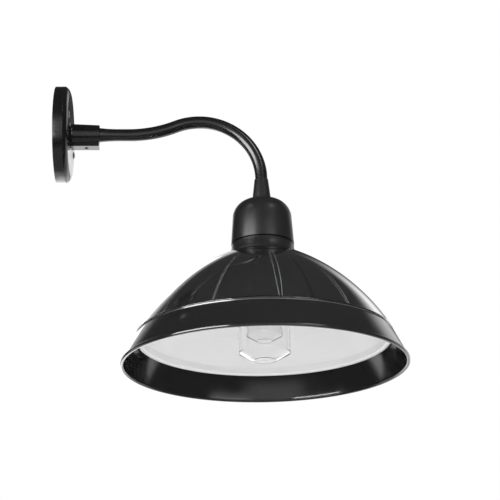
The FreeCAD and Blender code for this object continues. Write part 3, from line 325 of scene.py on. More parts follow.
# The range that most of a noise texture's values lie in
NOISE_RANGE = (0.3, 0.7)
LEAST_ROUGH = 0.02
COAT_ROUGH = 0.08
FINE_RELIEF = 0.00001
COVER_IOR = 1.5
LAMP_IOR = 1.49
GRAZING_FROM = 0.08
GRAZING_GAIN = 2.4
SHADOW_TINT = (0.96, 0.96, 0.96, 1.0)
WHITE = (1.0, 1.0, 1.0, 1.0)


def material(name):
    return Graph(bpy.data.materials.new(name), "ShaderNodeOutputMaterial")


def rgba(red, green, blue):
    return red, green, blue, 1.0


def paler(tint):
    return rgba(*(min(1.0, c * 1.01) for c in tint))


def finish(name, colour, rough, metal=0.0, spread=0.12, patch=18.0, grain=900.0, depth=0.00002, coat=0.0,
           rough_spread=0.05, brushed=None, shine=0.5):
    """A painted, moulded or metal finish: uneven colour, uneven gloss and a fine relief.

    patch and grain are the scales of the noise in the colour and in the relief; brushed stretches the relief.
    """
    g = material(name)
    dark = rgba(*(c * (1 - spread) for c in colour))
    light = rgba(*(min(1.0, c * (1 + spread)) for c in colour))
    tone = g.blend(g.noise(patch, 4.0), dark, light)
    if brushed:
        stretch = g.set(g.add("ShaderNodeMapping"), Vector=g.places["Object"], Scale=brushed)
        fine = g.noise(grain, 3.0, 0.6, stretch.outputs["Vector"])
    else:
        fine = g.noise(grain, 2.0)
    smoothest = max(LEAST_ROUGH, rough - rough_spread)
    gloss = g.spread(g.noise(patch * 3, 3.0), *NOISE_RANGE, smoothest, rough + rough_spread)
    return g.show(g.shader("ShaderNodeBsdfPrincipled", Base_Color=tone, Roughness=gloss, Metallic=metal,
                           Normal=g.bump(fine, depth), Coat_Weight=coat, Coat_Roughness=COAT_ROUGH,
                           Specular_IOR_Level=shine))


def thin_clear(name, tint, gloss_rough, strength):
    """A thin clear shell: straight through, with a Fresnel gloss that fine unevenness breaks up.

    strength multiplies the gloss of one surface; beyond GRAZING_FROM it grows faster still, because the
    panels beneath the shell shine too.
    """
    g = material(name)
    relief = g.bump(g.noise(140.0, 3.0), FINE_RELIEF)
    edge = g.set(g.add("ShaderNodeFresnel"), IOR=COVER_IOR, Normal=relief).outputs[0]
    front = g.maths("SUBTRACT", 1.0, g.add("ShaderNodeNewGeometry").outputs["Backfacing"])
    grazing = g.maths("MAXIMUM", g.maths("SUBTRACT", edge, GRAZING_FROM), 0.0)
    share = g.maths("ADD", g.maths("MULTIPLY", edge, strength), g.maths("MULTIPLY", grazing, GRAZING_GAIN))
    share = g.maths("MULTIPLY", share, front)
    cloud = g.blend(g.noise(30.0, 2.0), rgba(*tint), paler(tint))
    clear = g.shader("ShaderNodeBsdfTransparent", Color=cloud)
    gloss = g.shader("ShaderNodeBsdfGlossy", Roughness=gloss_rough, Normal=relief)
    return g.show(g.mix(share, clear, gloss))


def thick_clear(name, tint):
    """Clear plastic that bends light; lamps shine straight through it."""
    g = material(name)
    relief = g.bump(g.noise(90.0, 2.0), FINE_RELIEF)
    colour = g.blend(g.noise(25.0, 2.0), rgba(*tint), paler(tint))
    glass = g.shader("ShaderNodeBsdfPrincipled", Base_Color=colour, Roughness=0.0, IOR=LAMP_IOR,
                     Transmission_Weight=1.0, Normal=relief)
    clear = g.shader("ShaderNodeBsdfTransparent", Color=SHADOW_TINT)
    return g.show(g.mix(g.maths("MAXIMUM", g.ray("Is Shadow Ray"), g.ray("Is Diffuse Ray")), glass, clear))


def solar_panel():
    """Dark cells: fine pale fingers across, a dark strip down the middle and a slight blue drift."""
    fingers, rows = 52.0, 6.0
    strip_half, finger_start, joint_start = 0.045, 0.44, 0.485
    cell_dark, cell_light = rgba(0.0105, 0.0105, 0.0109), rgba(0.0145, 0.0145, 0.015)
    finger_tone, joint_tone = rgba(0.3, 0.3, 0.32), rgba(0.004, 0.004, 0.005)
    strip_tone = rgba(0.002, 0.002, 0.002)
    g = material("solar_cells")
    parts = g.set(g.add("ShaderNodeSeparateXYZ"), Vector=g.add("ShaderNodeUVMap", uv_map="UVMap").outputs[0])
    across, along = parts.outputs[0], parts.outputs[1]

    def from_middle(value):
        return g.maths("ABSOLUTE", g.maths("SUBTRACT", value, 0.5))

    def repeated(count):
        return from_middle(g.maths("FRACT", g.maths("MULTIPLY", along, count)))

    strip = g.spread(from_middle(across), 0.0, strip_half, 1.0, 0.0)
    finger = g.spread(repeated(fingers), finger_start, 0.5, 0.0, 1.0)
    joint = g.spread(repeated(rows), joint_start, 0.5, 0.0, 1.0)
    base = g.blend(g.noise(14.0, 4.0), cell_dark, cell_light)
    marks = ((finger, 0.05, finger_tone), (joint, 0.4, joint_tone), (strip, 0.8, strip_tone))
    for mark, strength, tone in marks:
        base = g.blend(g.maths("MULTIPLY", mark, strength), base, tone)
    gloss = g.spread(strip, 0.0, 1.0, 0.3, 0.6)
    return g.show(g.shader("ShaderNodeBsdfPrincipled", Base_Color=base, Roughness=gloss,
                           Normal=g.bump(g.noise(500.0, 2.0), FINE_RELIEF)))


def circuit_board():
    """Green board: darker fields between paler tracks."""
    g = material("board_green")
    tracks = g.set(g.add("ShaderNodeTexBrick"), Vector=g.places["Object"], Scale=260.0,
                   Color1=rgba(0.01, 0.12, 0.05), Color2=rgba(0.015, 0.16, 0.07), Mortar=rgba(0.05, 0.32, 0.14))
    gloss = g.spread(g.noise(60.0), *NOISE_RANGE, 0.3, 0.45)
    return g.show(g.shader("ShaderNodeBsdfPrincipled", Base_Color=tracks.outputs["Color"], Roughness=gloss,
                           Normal=g.bump(tracks.outputs["Fac"], 0.00003)))


plate_black = finish("plate_black", (0.0045, 0.0045, 0.0047), 0.17, rough_spread=0.03, grain=700,
                     depth=0.00001)
arm_black = finish("arm_black", (0.005, 0.005, 0.0052), 0.22, grain=800, depth=0.000005)
ferrule_black = finish("ferrule_black", (0.0075, 0.0075, 0.0077), 0.5, grain=1800, depth=0.00003, shine=0.2)
cap_black = finish("cap_black", (0.009, 0.009, 0.0092), 0.34, grain=2200, depth=0.00002, shine=0.22)
rim_black = finish("rim_black", (0.0105, 0.0105, 0.0108), 0.13, grain=400, depth=0.000003, coat=0.2)
steel = finish("steel", (0.34, 0.34, 0.35), 0.6, metal=0.7, grain=500, brushed=(1.0, 1.0, 12.0), shine=0.3)
screw_black = finish("screw_black", (0.05, 0.05, 0.052), 0.25, metal=0.6, grain=900)
rubber = finish("rubber", (0.02, 0.02, 0.02), 0.75, grain=1500, depth=0.00008)
tray_grey = finish("tray_grey", (0.12, 0.12, 0.125), 0.5, grain=1500, depth=0.00005)
cell_wrap = finish("cell_wrap", (0.03, 0.16, 0.06), 0.25, grain=300, depth=0.00001)
brass = finish("brass", (0.78, 0.58, 0.26), 0.28, metal=1.0, grain=600, brushed=(12.0, 1.0, 1.0))
board_dark = finish("board_part_dark", (0.03, 0.03, 0.032), 0.45, grain=1500)
frame_black = finish("frame_black", (0.008, 0.008, 0.0085), 0.5, grain=1500, depth=0.00004)
reflector_white = finish("reflector_white", (0.72, 0.72, 0.72), 0.34, spread=0.005, patch=6.0, grain=300,
                         depth=0.000005, coat=0.2, rough_spread=0.01)
holder_white = finish("holder_white", (0.8, 0.79, 0.76), 0.35, spread=0.03, grain=700)
lamp_white = finish("lamp_white", (0.86, 0.86, 0.85), 0.4, spread=0.02, grain=900)
lamp_metal = finish("lamp_metal", (0.75, 0.75, 0.74), 0.25, metal=1.0, grain=600, brushed=(1.0, 1.0, 14.0))
led_white = finish("led_board_white", (0.84, 0.85, 0.84), 0.4, spread=0.02, grain=900)
led_yellow = finish("led_phosphor", (0.85, 0.68, 0.16), 0.5, spread=0.08, grain=1200)
insulator = finish("insulator_black", (0.02, 0.015, 0.03), 0.1, grain=300)
switch_black = finish("switch_black", (0.03, 0.03, 0.03), 0.4, grain=1500)
button_grey = finish("button_grey", (0.28, 0.29, 0.3), 0.45, grain=1800, depth=0.00005)
lead_red = finish("lead_red", (0.4, 0.02, 0.015), 0.4, grain=600)
lead_black = finish("lead_black", (0.02, 0.02, 0.02), 0.4, grain=600)
# The seam beads' pale grey is a painted highlight: it stands in for light caught on their rounded edges
bead_painted_highlight = finish("bead_painted_highlight", (0.22, 0.22, 0.223), 0.16, spread=0.2, patch=60.0, depth=0.000003, coat=1.0,
                   shine=1.0)
# The foot seal's grey, paler than rubber, is partly painted highlight: it stands in for the lit line along the
# dome's foot
seal_painted_highlight = finish("seal_painted_highlight", (0.05, 0.05, 0.051), 0.15, spread=0.15, patch=40.0, depth=0.000005, shine=1.0)
screw_grey = finish("screw_grey", (0.3, 0.3, 0.305), 0.22, metal=0.9, grain=900)
bracket_zinc = finish("bracket_zinc", (0.3, 0.3, 0.305), 0.65, grain=500, shine=0.15)
cover_clear = thin_clear("cover_clear", (0.985, 0.987, 0.99), 0.04, 1.7)
jar_clear = thick_clear("jar_clear", (0.985, 0.985, 0.985))
lens_clear = thick_clear("lens_clear", (0.975, 0.975, 0.975))
cells = solar_panel()
board_green = circuit_board()

slot_materials = {
    "plate_black": plate_black, "arm_black": arm_black, "cap_black": cap_black, "rim_black": rim_black,
    "frame_black": frame_black, "switch_black": switch_black, "insulator_black": insulator,
    "steel": steel, "screw_black": screw_black, "brass": brass, "lamp_metal": lamp_metal,
    "rubber": rubber, "tray_grey": tray_grey, "button_grey": button_grey, "cell_wrap": cell_wrap,
    "board_green": board_green, "board_part_dark": board_dark, "led_board_white": led_white,
    "led_phosphor": led_yellow, "reflector_white": reflector_white, "holder_white": holder_white,
    "lamp_white": lamp_white, "lamp_clear": jar_clear, "cover_clear": cover_clear, "panel_black": cells,
    "lead_red": lead_red, "lead_black": lead_black,
}
# Every CAD node gets the better material of its slot; four get one of their own
for part in frame["record"]["subparts"]:
    carried = nodes[part["node"]].data.materials
    carried.clear()
    carried.append(slot_materials[part["material_slot"]])
nodes["arm_ferrule"].data.materials[0] = ferrule_black
# The foot seal gets a paler grey than its rubber slot, a painted highlight along the dome's foot
nodes["foot_seal"].data.materials[0] = seal_painted_highlight
nodes["canopy_screws"].data.materials[0] = screw_grey
nodes["wall_bracket"].data.materials[0] = bracket_zinc


# Wall plate and arm


def wall_plate():
    """A round pan whose bevel bulges a little, open at the back."""
    radius, wall, bore = 63.0, 2.0, 12.5
    bevel_foot, bevel_width, bevel_height, bulge = 12.5, 9.0, 6.0, 1.0
    face = radius - bevel_width
    bevel = [(radius - bevel_width * t + bulge * math.sin(math.pi * t),
              bevel_foot + bevel_height * t + bulge * math.sin(math.pi * t)) for t in (0.2, 0.4, 0.6, 0.8)]
    outline = rounded([
        (radius - wall, 0.0),
        (radius, 0.0, 0.3),
        (radius, bevel_foot, 0.5),
        *bevel,
        (face, PLATE_DEPTH, 0.6),
        (bore, PLATE_DEPTH, 0.3),
        (bore, PLATE_DEPTH - wall),
        (face - 1.0, PLATE_DEPTH - wall, 0.5),
        (radius - wall, bevel_foot - 1.0, 0.5),
    ])
    lathe("wall_plate_skin", outline, plate_black, ["wall_plate"], "wall_base", about_arm)


def arm_line():
    """The arm's centre line: x and z, how far it leans down from level, and the tube's radius there."""
    start, flare_start, flare_end, straight = 8.0, 56.0, 80.0, 93.0
    flare_steps, rise_steps, bend_steps = 12, 40, 150
    rise = math.radians(22.5)
    rise_radius, bend_radius = 160.0, 79.5
    drop, foot_z = 20.0, -103.869
    crest_x = straight + (rise_radius + bend_radius) * math.sin(rise)
    crest_z = (rise_radius + bend_radius) * (1 - math.cos(rise))
    flare_curve = ((flare_end - flare_start) ** 2 + TUBE_FLARE ** 2) / (2 * TUBE_FLARE)
    root = TUBE_RADIUS + TUBE_FLARE
    line = [(start, 0.0, 0.0, root), (flare_start, 0.0, 0.0, root)]
    for i in range(1, flare_steps + 1):
        x = flare_start + (flare_end - flare_start) * i / flare_steps
        radius = TUBE_RADIUS + flare_curve - math.sqrt(flare_curve ** 2 - (flare_end - x) ** 2)
        line.append((x, 0.0, 0.0, radius))
    line.append((straight, 0.0, 0.0, TUBE_RADIUS))
    for i in range(1, rise_steps + 1):
        a = rise * i / rise_steps
        line.append((straight + rise_radius * math.sin(a), rise_radius * (1 - math.cos(a)), -a, TUBE_RADIUS))
    for i in range(1, bend_steps + 1):
        a = -rise + (QUARTER + rise) * i / bend_steps
        x, z = crest_x + bend_radius * math.sin(a), crest_z - bend_radius * (1 - math.cos(a))
        line.append((x, z, a, TUBE_RADIUS))
    line.append((x, z - drop, QUARTER, TUBE_RADIUS))
    line.append((x, foot_z, QUARTER, TUBE_RADIUS))
    return line


def arm_tube(around=72, wall=1.2):
    """The arm's outside and its bore, closed at both ends."""
    points, faces, rings = [], [], []
    line = arm_line()
    for inner in (False, True):
        for x, z, lean, radius in line:
            if inner:
                radius = min(radius, TUBE_RADIUS) - wall
            rings.append(len(points))
            for i in range(around):
                side, up = radius * math.cos(TURN * i / around), radius * math.sin(TURN * i / around)
                points.append(((x + up * math.sin(lean)) * MM, side * MM, (z + up * math.cos(lean)) * MM))
    count = len(line)
    order = list(range(count)) + list(range(2 * count - 1, count - 1, -1))
    for k, step in enumerate(order):
        here, after = rings[step], rings[order[(k + 1) % len(order)]]
        for i in range(around):
            j = (i + 1) % around
            faces.append([here + i, here + j, after + j, after + i])
    faces = outward(points, faces)
    mesh_object("arm_tube_skin", points, faces, "lamp_arm", [arm_black], ["arm_tube"])


def arm_ferrule(height=30.0, foot_r=12.2, top_r=8.8):
    """The tapered sleeve that stands on the cap."""
    top = CAP_TOP + height
    outline = rounded([(SLEEVE_BORE, CAP_TOP), (foot_r, CAP_TOP, 0.3), (top_r, top, 0.5), (SLEEVE_BORE, top)])
    lathe("arm_ferrule_skin", outline, ferrule_black, ["arm_ferrule"], steps=120)


wall_plate()
arm_tube()
arm_ferrule()


# Cap and collar


def cap_top():
    """The round cap: a shoulder arc inside and out, and a rounded foot that stands off the collar."""
    foot = COLLAR_TOP + 1.8
    centre, shoulder, wall = 13.6, 24.0, 2.4

    def quarter_arc(radius, steps):
        return [(centre + radius * math.cos(QUARTER * i / steps),
                 CAP_TOP - shoulder + radius * math.sin(QUARTER * i / steps)) for i in range(steps + 1)]

    edge = [(37.5, foot), (39.5, foot), (39.8, foot + 0.12), (39.9, foot + 0.4)]
    outline = edge + quarter_arc(shoulder, 16) + [(SLEEVE_BORE, CAP_TOP), (SLEEVE_BORE, CAP_TOP - wall)]
    outline += quarter_arc(shoulder - wall, 12)[::-1]
    lathe("cap_top_skin", outline, cap_black, ["cap_top"])


cap_top()


# Dome


def dome_cover():
    """The clear shell from the collar down to a round bead at its foot."""
    neck_r, wall, bead_height, bead_out = 38.9, 1.6, 2.6, 1.3
    outer = dome_run(0.0, dome_z(neck_r, 0.0), COVER_FOOT + bead_height, 64)
    bead_r = dome_r(COVER_FOOT + bead_height / 2, 0.0) - 0.65
    bead = arc_through((bead_r + 0.3, COVER_FOOT + bead_height),
                       (bead_r + bead_out, COVER_FOOT + bead_height / 2), (bead_r, COVER_FOOT), 14)
    inner = dome_run(wall, COVER_FOOT, dome_z(neck_r, wall), 48)
    lathe("dome_cover_skin", outer + bead + inner, cover_clear, ["dome_cover"], steps=288)


def dome_point(radius, height, lift, angle):
    """A point lifted off the dome's surface along its outward normal."""
    out = Vector((radius - DOME_CENTRE_R, height - DOME_CENTRE_Z)).normalized() * lift
    return about_shade(radius + out.x, height + out.y, angle)


# Each seam: its azimuth and that of the dark strip in the panel after it, in degrees with 0 in front and 90
# to the right; how far it opens, as a share of the widest; and half the width in millimetres of its beads
SEAMS = (
    (4.5, 18.5, 1.0, 0.42),
    (36.5, 51.3, 0.7, 0.62),
    (66.5, 81.5, 0.4, 0.5),
    (96.5, 111.5, 0.4, 0.5),
    (126.5, 141.5, 0.4, 0.5),
    (156.5, 171.5, 0.4, 0.5),
    (186.5, 201.5, 0.4, 0.5),
    (216.5, 231.5, 0.4, 0.5),
    (246.5, 261.5, 0.4, 0.5),
    (276.5, 291.5, 0.4, 0.5),
    (307.0, 323.5, 0.3, 0.62),
    (335.2, 351.5, 0.16, 0.36),
)


def solar_panels(across=20, along=56, bead_sides=8, bead_height=0.22):
    """Twelve curved panels; a bead runs up both long edges beside the long dark seam, its pale grey a painted
    highlight.
    """
    inset, thick, top_r = 1.9, 0.7, 41.0
    seal_height, foot_gap = 2.8, 1.2
    seam_least, seam_most, seam_past = 0.3, 2.2, 4.0
    foot_z = COVER_FOOT + seal_height + foot_gap
    top_z = {depth: dome_z(top_r, depth) for depth in (inset, inset + thick)}
    low, high = foot_z - seam_past, top_z[inset] + seam_past

    def half_seam(z, r, opening):
        """Half a seam's width as an angle; a seam is widest below its middle."""
        rise = min(1.0, (z - low) / (high - low) * 0.95)
        width = seam_most * opening * math.sin(math.pi * rise ** 0.8) ** 0.7
        return math.asin(min(1.0, (seam_least + width) / r))

    def texture_across(share, strip_share):
        """How far across the texture, which has the dark strip at a half."""
        if share < strip_share:
            return share / strip_share / 2
        return 0.5 + (share - strip_share) / (1 - strip_share) / 2

    points, faces, places, kinds = [], [], [], []

    def add(loops, spots, kind):
        start = len(points)
        new_points, new_faces = loft(loops)
        points.extend(new_points)
        faces.extend([[start + c for c in face] for face in new_faces])
        kinds.extend([kind] * len(new_faces))
        places.extend(spot for loop in spots for spot in loop)

    for number, (seam, strip, opening, bead) in enumerate(SEAMS):
        after, _, after_opening, after_bead = SEAMS[(number + 1) % len(SEAMS)]
        a0 = math.radians(seam - 90)
        a1 = math.radians(after - 90) + (TURN if number + 1 == len(SEAMS) else 0.0)
        strip_share = (math.radians(strip - 90) - a0) / (a1 - a0)
        loops, spots = [], []
        for k in range(along + 1):
            loop, spot = [], []
            for depth in (inset, inset + thick):
                z = foot_z + (top_z[depth] - foot_z) * k / along
                r = dome_r(z, depth)
                left = a0 + half_seam(z, r, opening)
                right = a1 - half_seam(z, r, after_opening)
                row = [(i / across, left + (right - left) * i / across) for i in range(across + 1)]
                if depth != inset:
                    row.reverse()
                loop += [about_shade(r, z, a) for _, a in row]
                spot += [(texture_across(t, strip_share), k / along) for t, _ in row]
            loops.append(loop)
            spots.append(spot)
        add(loops, spots, 0)
        for at, side, wide, size in ((a0, 1, opening, bead), (a1, -1, after_opening, after_bead)):
            loops, spots = [], []
            for k in range(along + 1):
                z = foot_z + (top_z[inset] - foot_z) * k / along
                r = dome_r(z, inset)
                edge = at + side * (half_seam(z, r, wide) + size / r)
                turns = [TURN * (i + 0.5) / bead_sides for i in range(bead_sides)]
                loops.append([dome_point(r, z, bead_height * math.sin(q), edge + size * math.cos(q) / r)
                              for q in turns])
                spots.append([(0.5, 0.5)] * bead_sides)
            add(loops, spots, 1)
    # The beads take the pale grey that paints the highlight along each seam
    piece = mesh_object("solar_panels_skin", points, faces, "lamp_arm", [cells, bead_painted_highlight],
                        ["solar_panels"])
    piece.data.polygons.foreach_set("material_index", kinds)
    layer = piece.data.uv_layers.new(name="UVMap")
    for loop in piece.data.loops:
        layer.data[loop.index].uv = places[loop.vertex_index]


def neck_collar():
    """The collar's skirt and its neck, down to the seal."""
    bore, top_r, skirt_r = 27.2, 39.5, 42.0
    groove_in, groove_out, groove_depth = 34.8, 36.8, 8.0
    neck_in, neck_out, neck_depth, wall = 35.1, 38.5, 13.9, 2.0
    above = -0.9
    skirt_foot = dome_z(skirt_r, above)
    side = arc_through((39.7, COLLAR_TOP), (40.16, (COLLAR_TOP + skirt_foot) / 2), (skirt_r, skirt_foot), 10)
    outline = [(bore, COLLAR_TOP), (groove_in, COLLAR_TOP), (groove_in, COLLAR_TOP + groove_depth),
               (groove_out, COLLAR_TOP + groove_depth), (groove_out, COLLAR_TOP), (top_r, COLLAR_TOP),
               (top_r + 0.18, COLLAR_TOP - 0.12)]
    outline += side
    outline += [(skirt_r - 0.1, skirt_foot - 0.2), (neck_out, dome_z(neck_out, above)),
                (neck_out, COLLAR_TOP - neck_depth), (neck_in, COLLAR_TOP - neck_depth),
                (neck_in, COLLAR_TOP - wall), (bore, COLLAR_TOP - wall)]
    lathe("neck_collar_skin", outline, cap_black, ["neck_collar"])


dome_cover()
solar_panels()
neck_collar()


# Rim and reflector


def rim_ring():
    """A flared band: a rounded top edge, a rolled lip at its foot and a ledge inside its top."""
    wall, ledge, corner, lip_w, lip_h = 2.4, 2.0, 1.6, 4.7, 4.6
    top_r, foot_r, ledge_r = 159.7, 178.0, 153.2
    slope = (foot_r - top_r) / RIM_HEIGHT
    lip_top = RIM_FOOT + lip_h
    lip_start = top_r + (RIM_TOP - lip_top) * slope
    widest = (foot_r, RIM_FOOT + lip_h * 0.42)
    above_widest = (foot_r - lip_w * 0.06, widest[1] + lip_h * 0.3)
    below_widest = (foot_r - lip_w * 0.1, RIM_FOOT + lip_h * 0.1)
    underside = (foot_r - lip_w * 0.28, RIM_FOOT)
    heel = (foot_r - lip_w * 0.85, RIM_FOOT + lip_h * 0.15)
    inner_edge = (foot_r - lip_w, RIM_FOOT + lip_h * 0.5)
    outline = [(ledge_r, RIM_TOP), (top_r - corner, RIM_TOP)]
    outline += arc_through((top_r - corner, RIM_TOP), (top_r - corner * 0.3, RIM_TOP - corner * 0.3),
                           (top_r + corner * slope, RIM_TOP - corner), 8)
    outline += [(lip_start, lip_top)]
    outline += arc_through((lip_start, lip_top), above_widest, widest, 8)
    outline += arc_through(widest, below_widest, underside, 8)
    outline += arc_through(underside, heel, inner_edge, 10)
    outline += [(lip_start - wall, lip_top), (top_r + ledge * slope - wall, RIM_TOP - ledge),
                (ledge_r, RIM_TOP - ledge)]
    lathe("rim_ring_skin", outline, rim_black, ["rim_ring"], steps=360)


def reflector():
    """A pressed dish with a faint ring round its wall and a rolled flange."""
    bore, edge, wall, inset = 17.5, 150.3, 1.2, 5.5
    flange_out, flange_drop, bend, roll = 6.3, 5.6, 1.2, 2.4
    ring_above, ring_half, ring_depth = 37.0, 1.8, 0.3
    flange_foot = RIM_TOP - flange_drop
    flange_top = flange_foot + wall
    top = FLAT_Z + wall
    outer = dome_run(inset, top, dome_z(edge + wall, inset), 40)
    inner = []
    for r, z in dome_run(inset + wall, dome_z(edge, inset + wall), FLAT_Z + 1.2, 110):
        dip = max(0.0, 1 - ((z - RIM_TOP - ring_above) / ring_half) ** 2)
        inner.append((r - ring_depth * dip * dip, z))
    flat_r = dome_r(FLAT_Z, inset + wall)
    inner += arc_through(inner[-1], (flat_r + 0.1, FLAT_Z + 0.35), (flat_r - 1.6, FLAT_Z), 5)
    outline = [(bore, top)] + outer
    outline += arc_through((edge + wall, flange_top + bend), (edge + wall + 0.35, flange_top + 0.35),
                           (edge + wall + bend, flange_top), 5)
    outline += [(edge + flange_out, flange_top), (edge + flange_out, flange_foot)]
    outline += arc_through((edge + flange_out, flange_foot), (edge + 4.0, flange_foot - 0.3),
                           (edge + roll, flange_foot), 6)
    outline += arc_through((edge + roll, flange_foot), (edge + 0.7, flange_foot + 0.7),
                           (edge, flange_foot + roll), 8)
    outline += inner + [(bore, FLAT_Z)]
    lathe("reflector_skin", outline, reflector_white, ["reflector"], steps=360)


rim_ring()
reflector()


# Lamp


def bulb_jar():
    """The lamp's outer jar: straight wall, chamfer and a flat bottom."""
    chamfer, flat, wall = 9.9, 13.9, 1.5
    lean = wall * CHAMFER_LEAN
    outline = rounded([
        (JAR_RADIUS, JAR_TOP),
        (JAR_RADIUS, JAR_FOOT + chamfer, 1.2),
        (flat, JAR_FOOT, 1.2),
        (0.0, JAR_FOOT),
        (0.0, JAR_FOOT + wall),
        (flat - lean, JAR_FOOT + wall, 0.7),
        (JAR_RADIUS - wall, JAR_FOOT + chamfer + lean, 0.7),
        (JAR_RADIUS - wall, JAR_TOP),
    ], 4)
    lathe("bulb_jar_skin", outline, jar_clear, ["bulb_jar"], "bulb", steps=180)


def inner_lens():
    """The second glass inside the jar, with a flange at its top."""
    radius, flange, chamfer, flat, wall = 22.4, 2.6, 7.0, 9.5, 1.2
    lean = wall * CHAMFER_LEAN
    outline = rounded([
        (radius + flange, LENS_TOP),
        (radius + flange, LENS_TOP - wall, 0.3),
        (radius, LENS_TOP - wall),
        (radius, LENS_FOOT + chamfer, 1.0),
        (flat, LENS_FOOT, 1.0),
        (0.0, LENS_FOOT),
        (0.0, LENS_FOOT + wall),
        (flat - lean, LENS_FOOT + wall, 0.6),
        (radius - wall, LENS_FOOT + chamfer + lean, 0.6),
        (radius - wall, LENS_TOP),
    ], 4)
    lathe("inner_lens_skin", outline, lens_clear, ["inner_lens"], "bulb", steps=180)


bulb_jar()
inner_lens()


# Stage, light and camera


def stage_floor(reach=7.0, level=-1.2, paler_share=0.7):
    """A pale floor that takes the object's shadow, looks paler to the camera and doesn't show in gloss."""
    mesh = bpy.data.meshes.new("floor")
    corners = [(-reach, -reach, level), (reach, -reach, level), (reach, reach, level), (-reach, reach, level)]
    mesh.from_pydata(corners, [], [[0, 1, 2, 3]])
    floor = bpy.data.objects.new("floor", mesh)
    bpy.context.scene.collection.objects.link(floor)
    g = material("floor_pale")
    tone = g.blend(g.noise(0.6, 2.0), rgba(0.84, 0.84, 0.84), rgba(0.87, 0.87, 0.87))
    lit = g.shader("ShaderNodeBsdfPrincipled", Base_Color=tone, Roughness=0.8, Specular_IOR_Level=0.0)
    white = g.shader("ShaderNodeEmission", Color=WHITE, Strength=1.0)
    seen = g.mix(g.maths("MULTIPLY", g.ray("Is Camera Ray"), paler_share), lit, white)
    clear = g.shader("ShaderNodeBsdfTransparent")
    mesh.materials.append(g.show(g.mix(g.ray("Is Glossy Ray"), seen, clear)))


# The soft lamps face this point, in metres
SHADE_MIDDLE = (0.22, 0.0, -0.17)

# How bright the room is between its panels
DIM_ROOM = 0.04

# Soft white panels round the room, in degrees: azimuth 0 is in front, 90 to the right, 180 behind. Each has
# its azimuth from and to, half its soft edge at both sides, its elevation from and to, half its soft edges
# below and above, and its level, where 1 is white. A side at or past 180 has no soft edge.
WHITE_PANELS = (
    ("behind_right", 132, 161, 9, -56, 38, 8, 7, 1.1),
    ("behind_left", -190, -152, 10, -56, 38, 8, 6, 0.72),
    ("low_right", 152, 190, 8, -56, 8, 8, 8, 0.9),
    ("low_left", -190, -152, 8, -56, 8, 8, 8, 0.9),
    ("side_left", -132, -114, 4, -38, 4, 8, 8, 1.6),
    ("side_right", 112, 126, 4, -38, 10, 8, 8, 1.2),
    ("box_right", 12, 44, 6, -6, 14, 16, 7, 4.8),
    ("strip_left", -66, -51, 5, 37, 50, 5, 5, 8.0),
    ("strip_right", 30, 50, 5, 34, 50, 6, 5, 7.0),
    ("front", -36, 14, 12, -28, 18, 8, 14, 0.8),
    ("below", -180, 180, 0, -90, -50, 1, 6, 0.4),
)


def room():
    """Plain white for camera rays; a dark room with soft white panels for everything else."""
    world = bpy.data.worlds.new("studio")
    bpy.context.scene.world = world
    g = Graph(world, "ShaderNodeOutputWorld")

    def rise(value, middle, soft):
        return g.spread(value, middle - soft, middle + soft, 0.0, 1.0, "SMOOTHSTEP")

    def fall(value, middle, soft):
        return g.maths("SUBTRACT", 1.0, rise(value, middle, soft))

    parts = g.set(g.add("ShaderNodeSeparateXYZ"), Vector=g.places["Generated"])
    x, y, z = parts.outputs
    azimuth = g.maths("DEGREES", g.maths("ARCTAN2", x, g.maths("MULTIPLY", y, -1.0)))
    elevation = g.maths("DEGREES", g.maths("ARCSINE", z))
    level = DIM_ROOM
    for _, a0, a1, soft, e0, e1, soft_low, soft_high, strength in WHITE_PANELS:
        sides = [rise(elevation, e0, soft_low), fall(elevation, e1, soft_high)]
        if a0 > -180:
            sides.append(rise(azimuth, a0, soft))
        if a1 < 180:
            sides.append(fall(azimuth, a1, soft))
        share = strength
        for side in sides:
            share = g.maths("MULTIPLY", share, side)
        level = g.maths("ADD", level, share)
    seen = g.add("ShaderNodeMix", data_type="FLOAT")
    white = g.maths("MAXIMUM", g.ray("Is Camera Ray"), g.ray("Is Transmission Ray"))
    for socket, value in zip((seen.inputs["Factor"], seen.inputs[2], seen.inputs[3]), (white, level, 1.0)):
        g.feed(socket, value)
    g.show(g.shader("ShaderNodeBackground", Color=WHITE, Strength=seen.outputs[0]))


def area_lamp(name, target, way, width, height, power):
    """A rectangular lamp that stands off its target along a way and faces it."""
    lamp = bpy.data.lights.new(name, "AREA")
    lamp.shape = "RECTANGLE"
    lamp.size = width
    lamp.size_y = height
    lamp.energy = power
    holder = bpy.data.objects.new(name, lamp)
    bpy.context.scene.collection.objects.link(holder)
    spot = target + way
    holder.location = spot
    holder.rotation_euler = (target - spot).to_track_quat("-Z", "Y").to_euler()
    return holder


def softbox(name, azimuth, elevation, distance, width, height, power):
    """An area lamp that faces the shade and doesn't show in gloss; azimuth 0 is in front, 90 to the right."""
    a, e = math.radians(azimuth), math.radians(elevation)
    way = distance * Vector((math.sin(a) * math.cos(e), -math.cos(a) * math.cos(e), math.sin(e)))
    lamp = area_lamp(name, Vector(SHADE_MIDDLE), way, width, height, power)
    lamp.visible_glossy = False


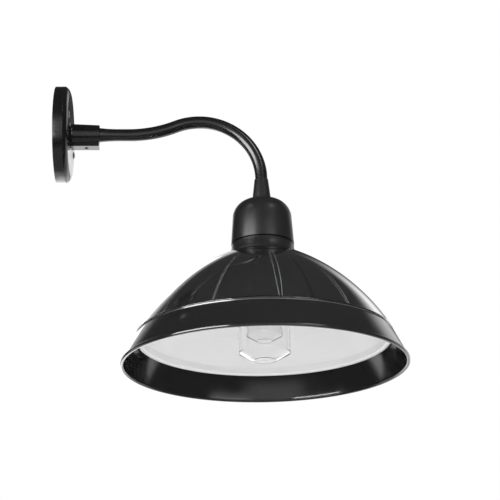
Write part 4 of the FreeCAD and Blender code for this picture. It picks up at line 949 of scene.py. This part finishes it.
def gloss_box(name, azimuth, reach, low, high, width, level, target_x=0.2):
    """A big upright softbox near the object that shows in gloss alone; level 1 is white."""
    a = math.radians(azimuth)
    target = Vector((target_x, 0.0, (low + high) / 2))
    way = reach * Vector((math.sin(a), -math.cos(a), 0.0))
    lamp = area_lamp(name, target, way, width, high - low, level * math.pi * width * (high - low))
    lamp.visible_diffuse = False
    lamp.visible_transmission = False
    lamp.visible_camera = False


def across_and_up(ahead):
    """The level way to the right of a way ahead, and the way up across both."""
    right = ahead.cross(Vector((0, 0, 1))).normalized()
    return right, right.cross(ahead)


def camera():
    """The camera that was fitted to the photo, then turned half a pixel up and to the left."""
    focal_pixels, width_pixels, sensor = 1450, 500, 36.0
    data = bpy.data.cameras.new("camera")
    data.lens = focal_pixels / width_pixels * sensor
    data.sensor_width = sensor
    data.clip_start = 0.05
    data.clip_end = 50.0
    holder = bpy.data.objects.new("camera", data)
    bpy.context.scene.collection.objects.link(holder)
    place = Vector((0.1812, -1.7221, -0.7862))
    ahead = Vector((0.0368, 0.9391, 0.3416)).normalized()
    right, up = across_and_up(ahead)
    ahead = (ahead + (up - right) * (0.5 / focal_pixels)).normalized()
    right, up = across_and_up(ahead)
    roll = math.radians(-0.99)
    right, up = right * math.cos(roll) + up * math.sin(roll), up * math.cos(roll) - right * math.sin(roll)
    holder.matrix_world = Matrix.Translation(place) @ Matrix((right, up, -ahead)).transposed().to_4x4()
    bpy.context.scene.camera = holder


stage_floor()
room()
softbox("top", 20.0, 75.0, 3.0, 4.0, 4.0, 94.0)
softbox("front_left", -50.0, 10.0, 3.0, 3.0, 3.0, 77.0)
softbox("front_right", 60.0, 10.0, 3.0, 3.0, 3.0, 77.0)
softbox("low_front", 0.0, -35.0, 2.4, 2.0, 1.2, 31.0)
softbox("back", 180.0, 15.0, 3.0, 4.0, 3.0, 77.0)
gloss_box("box_left", -48.0, 1.0, -0.46, 0.18, 0.84, 14.0)
gloss_box("board_behind", 180.0, 0.62, -0.62, 0.27, 0.26, 1.4, 0.02)
camera()

bpy.context.scene.view_settings.view_transform = "Standard"
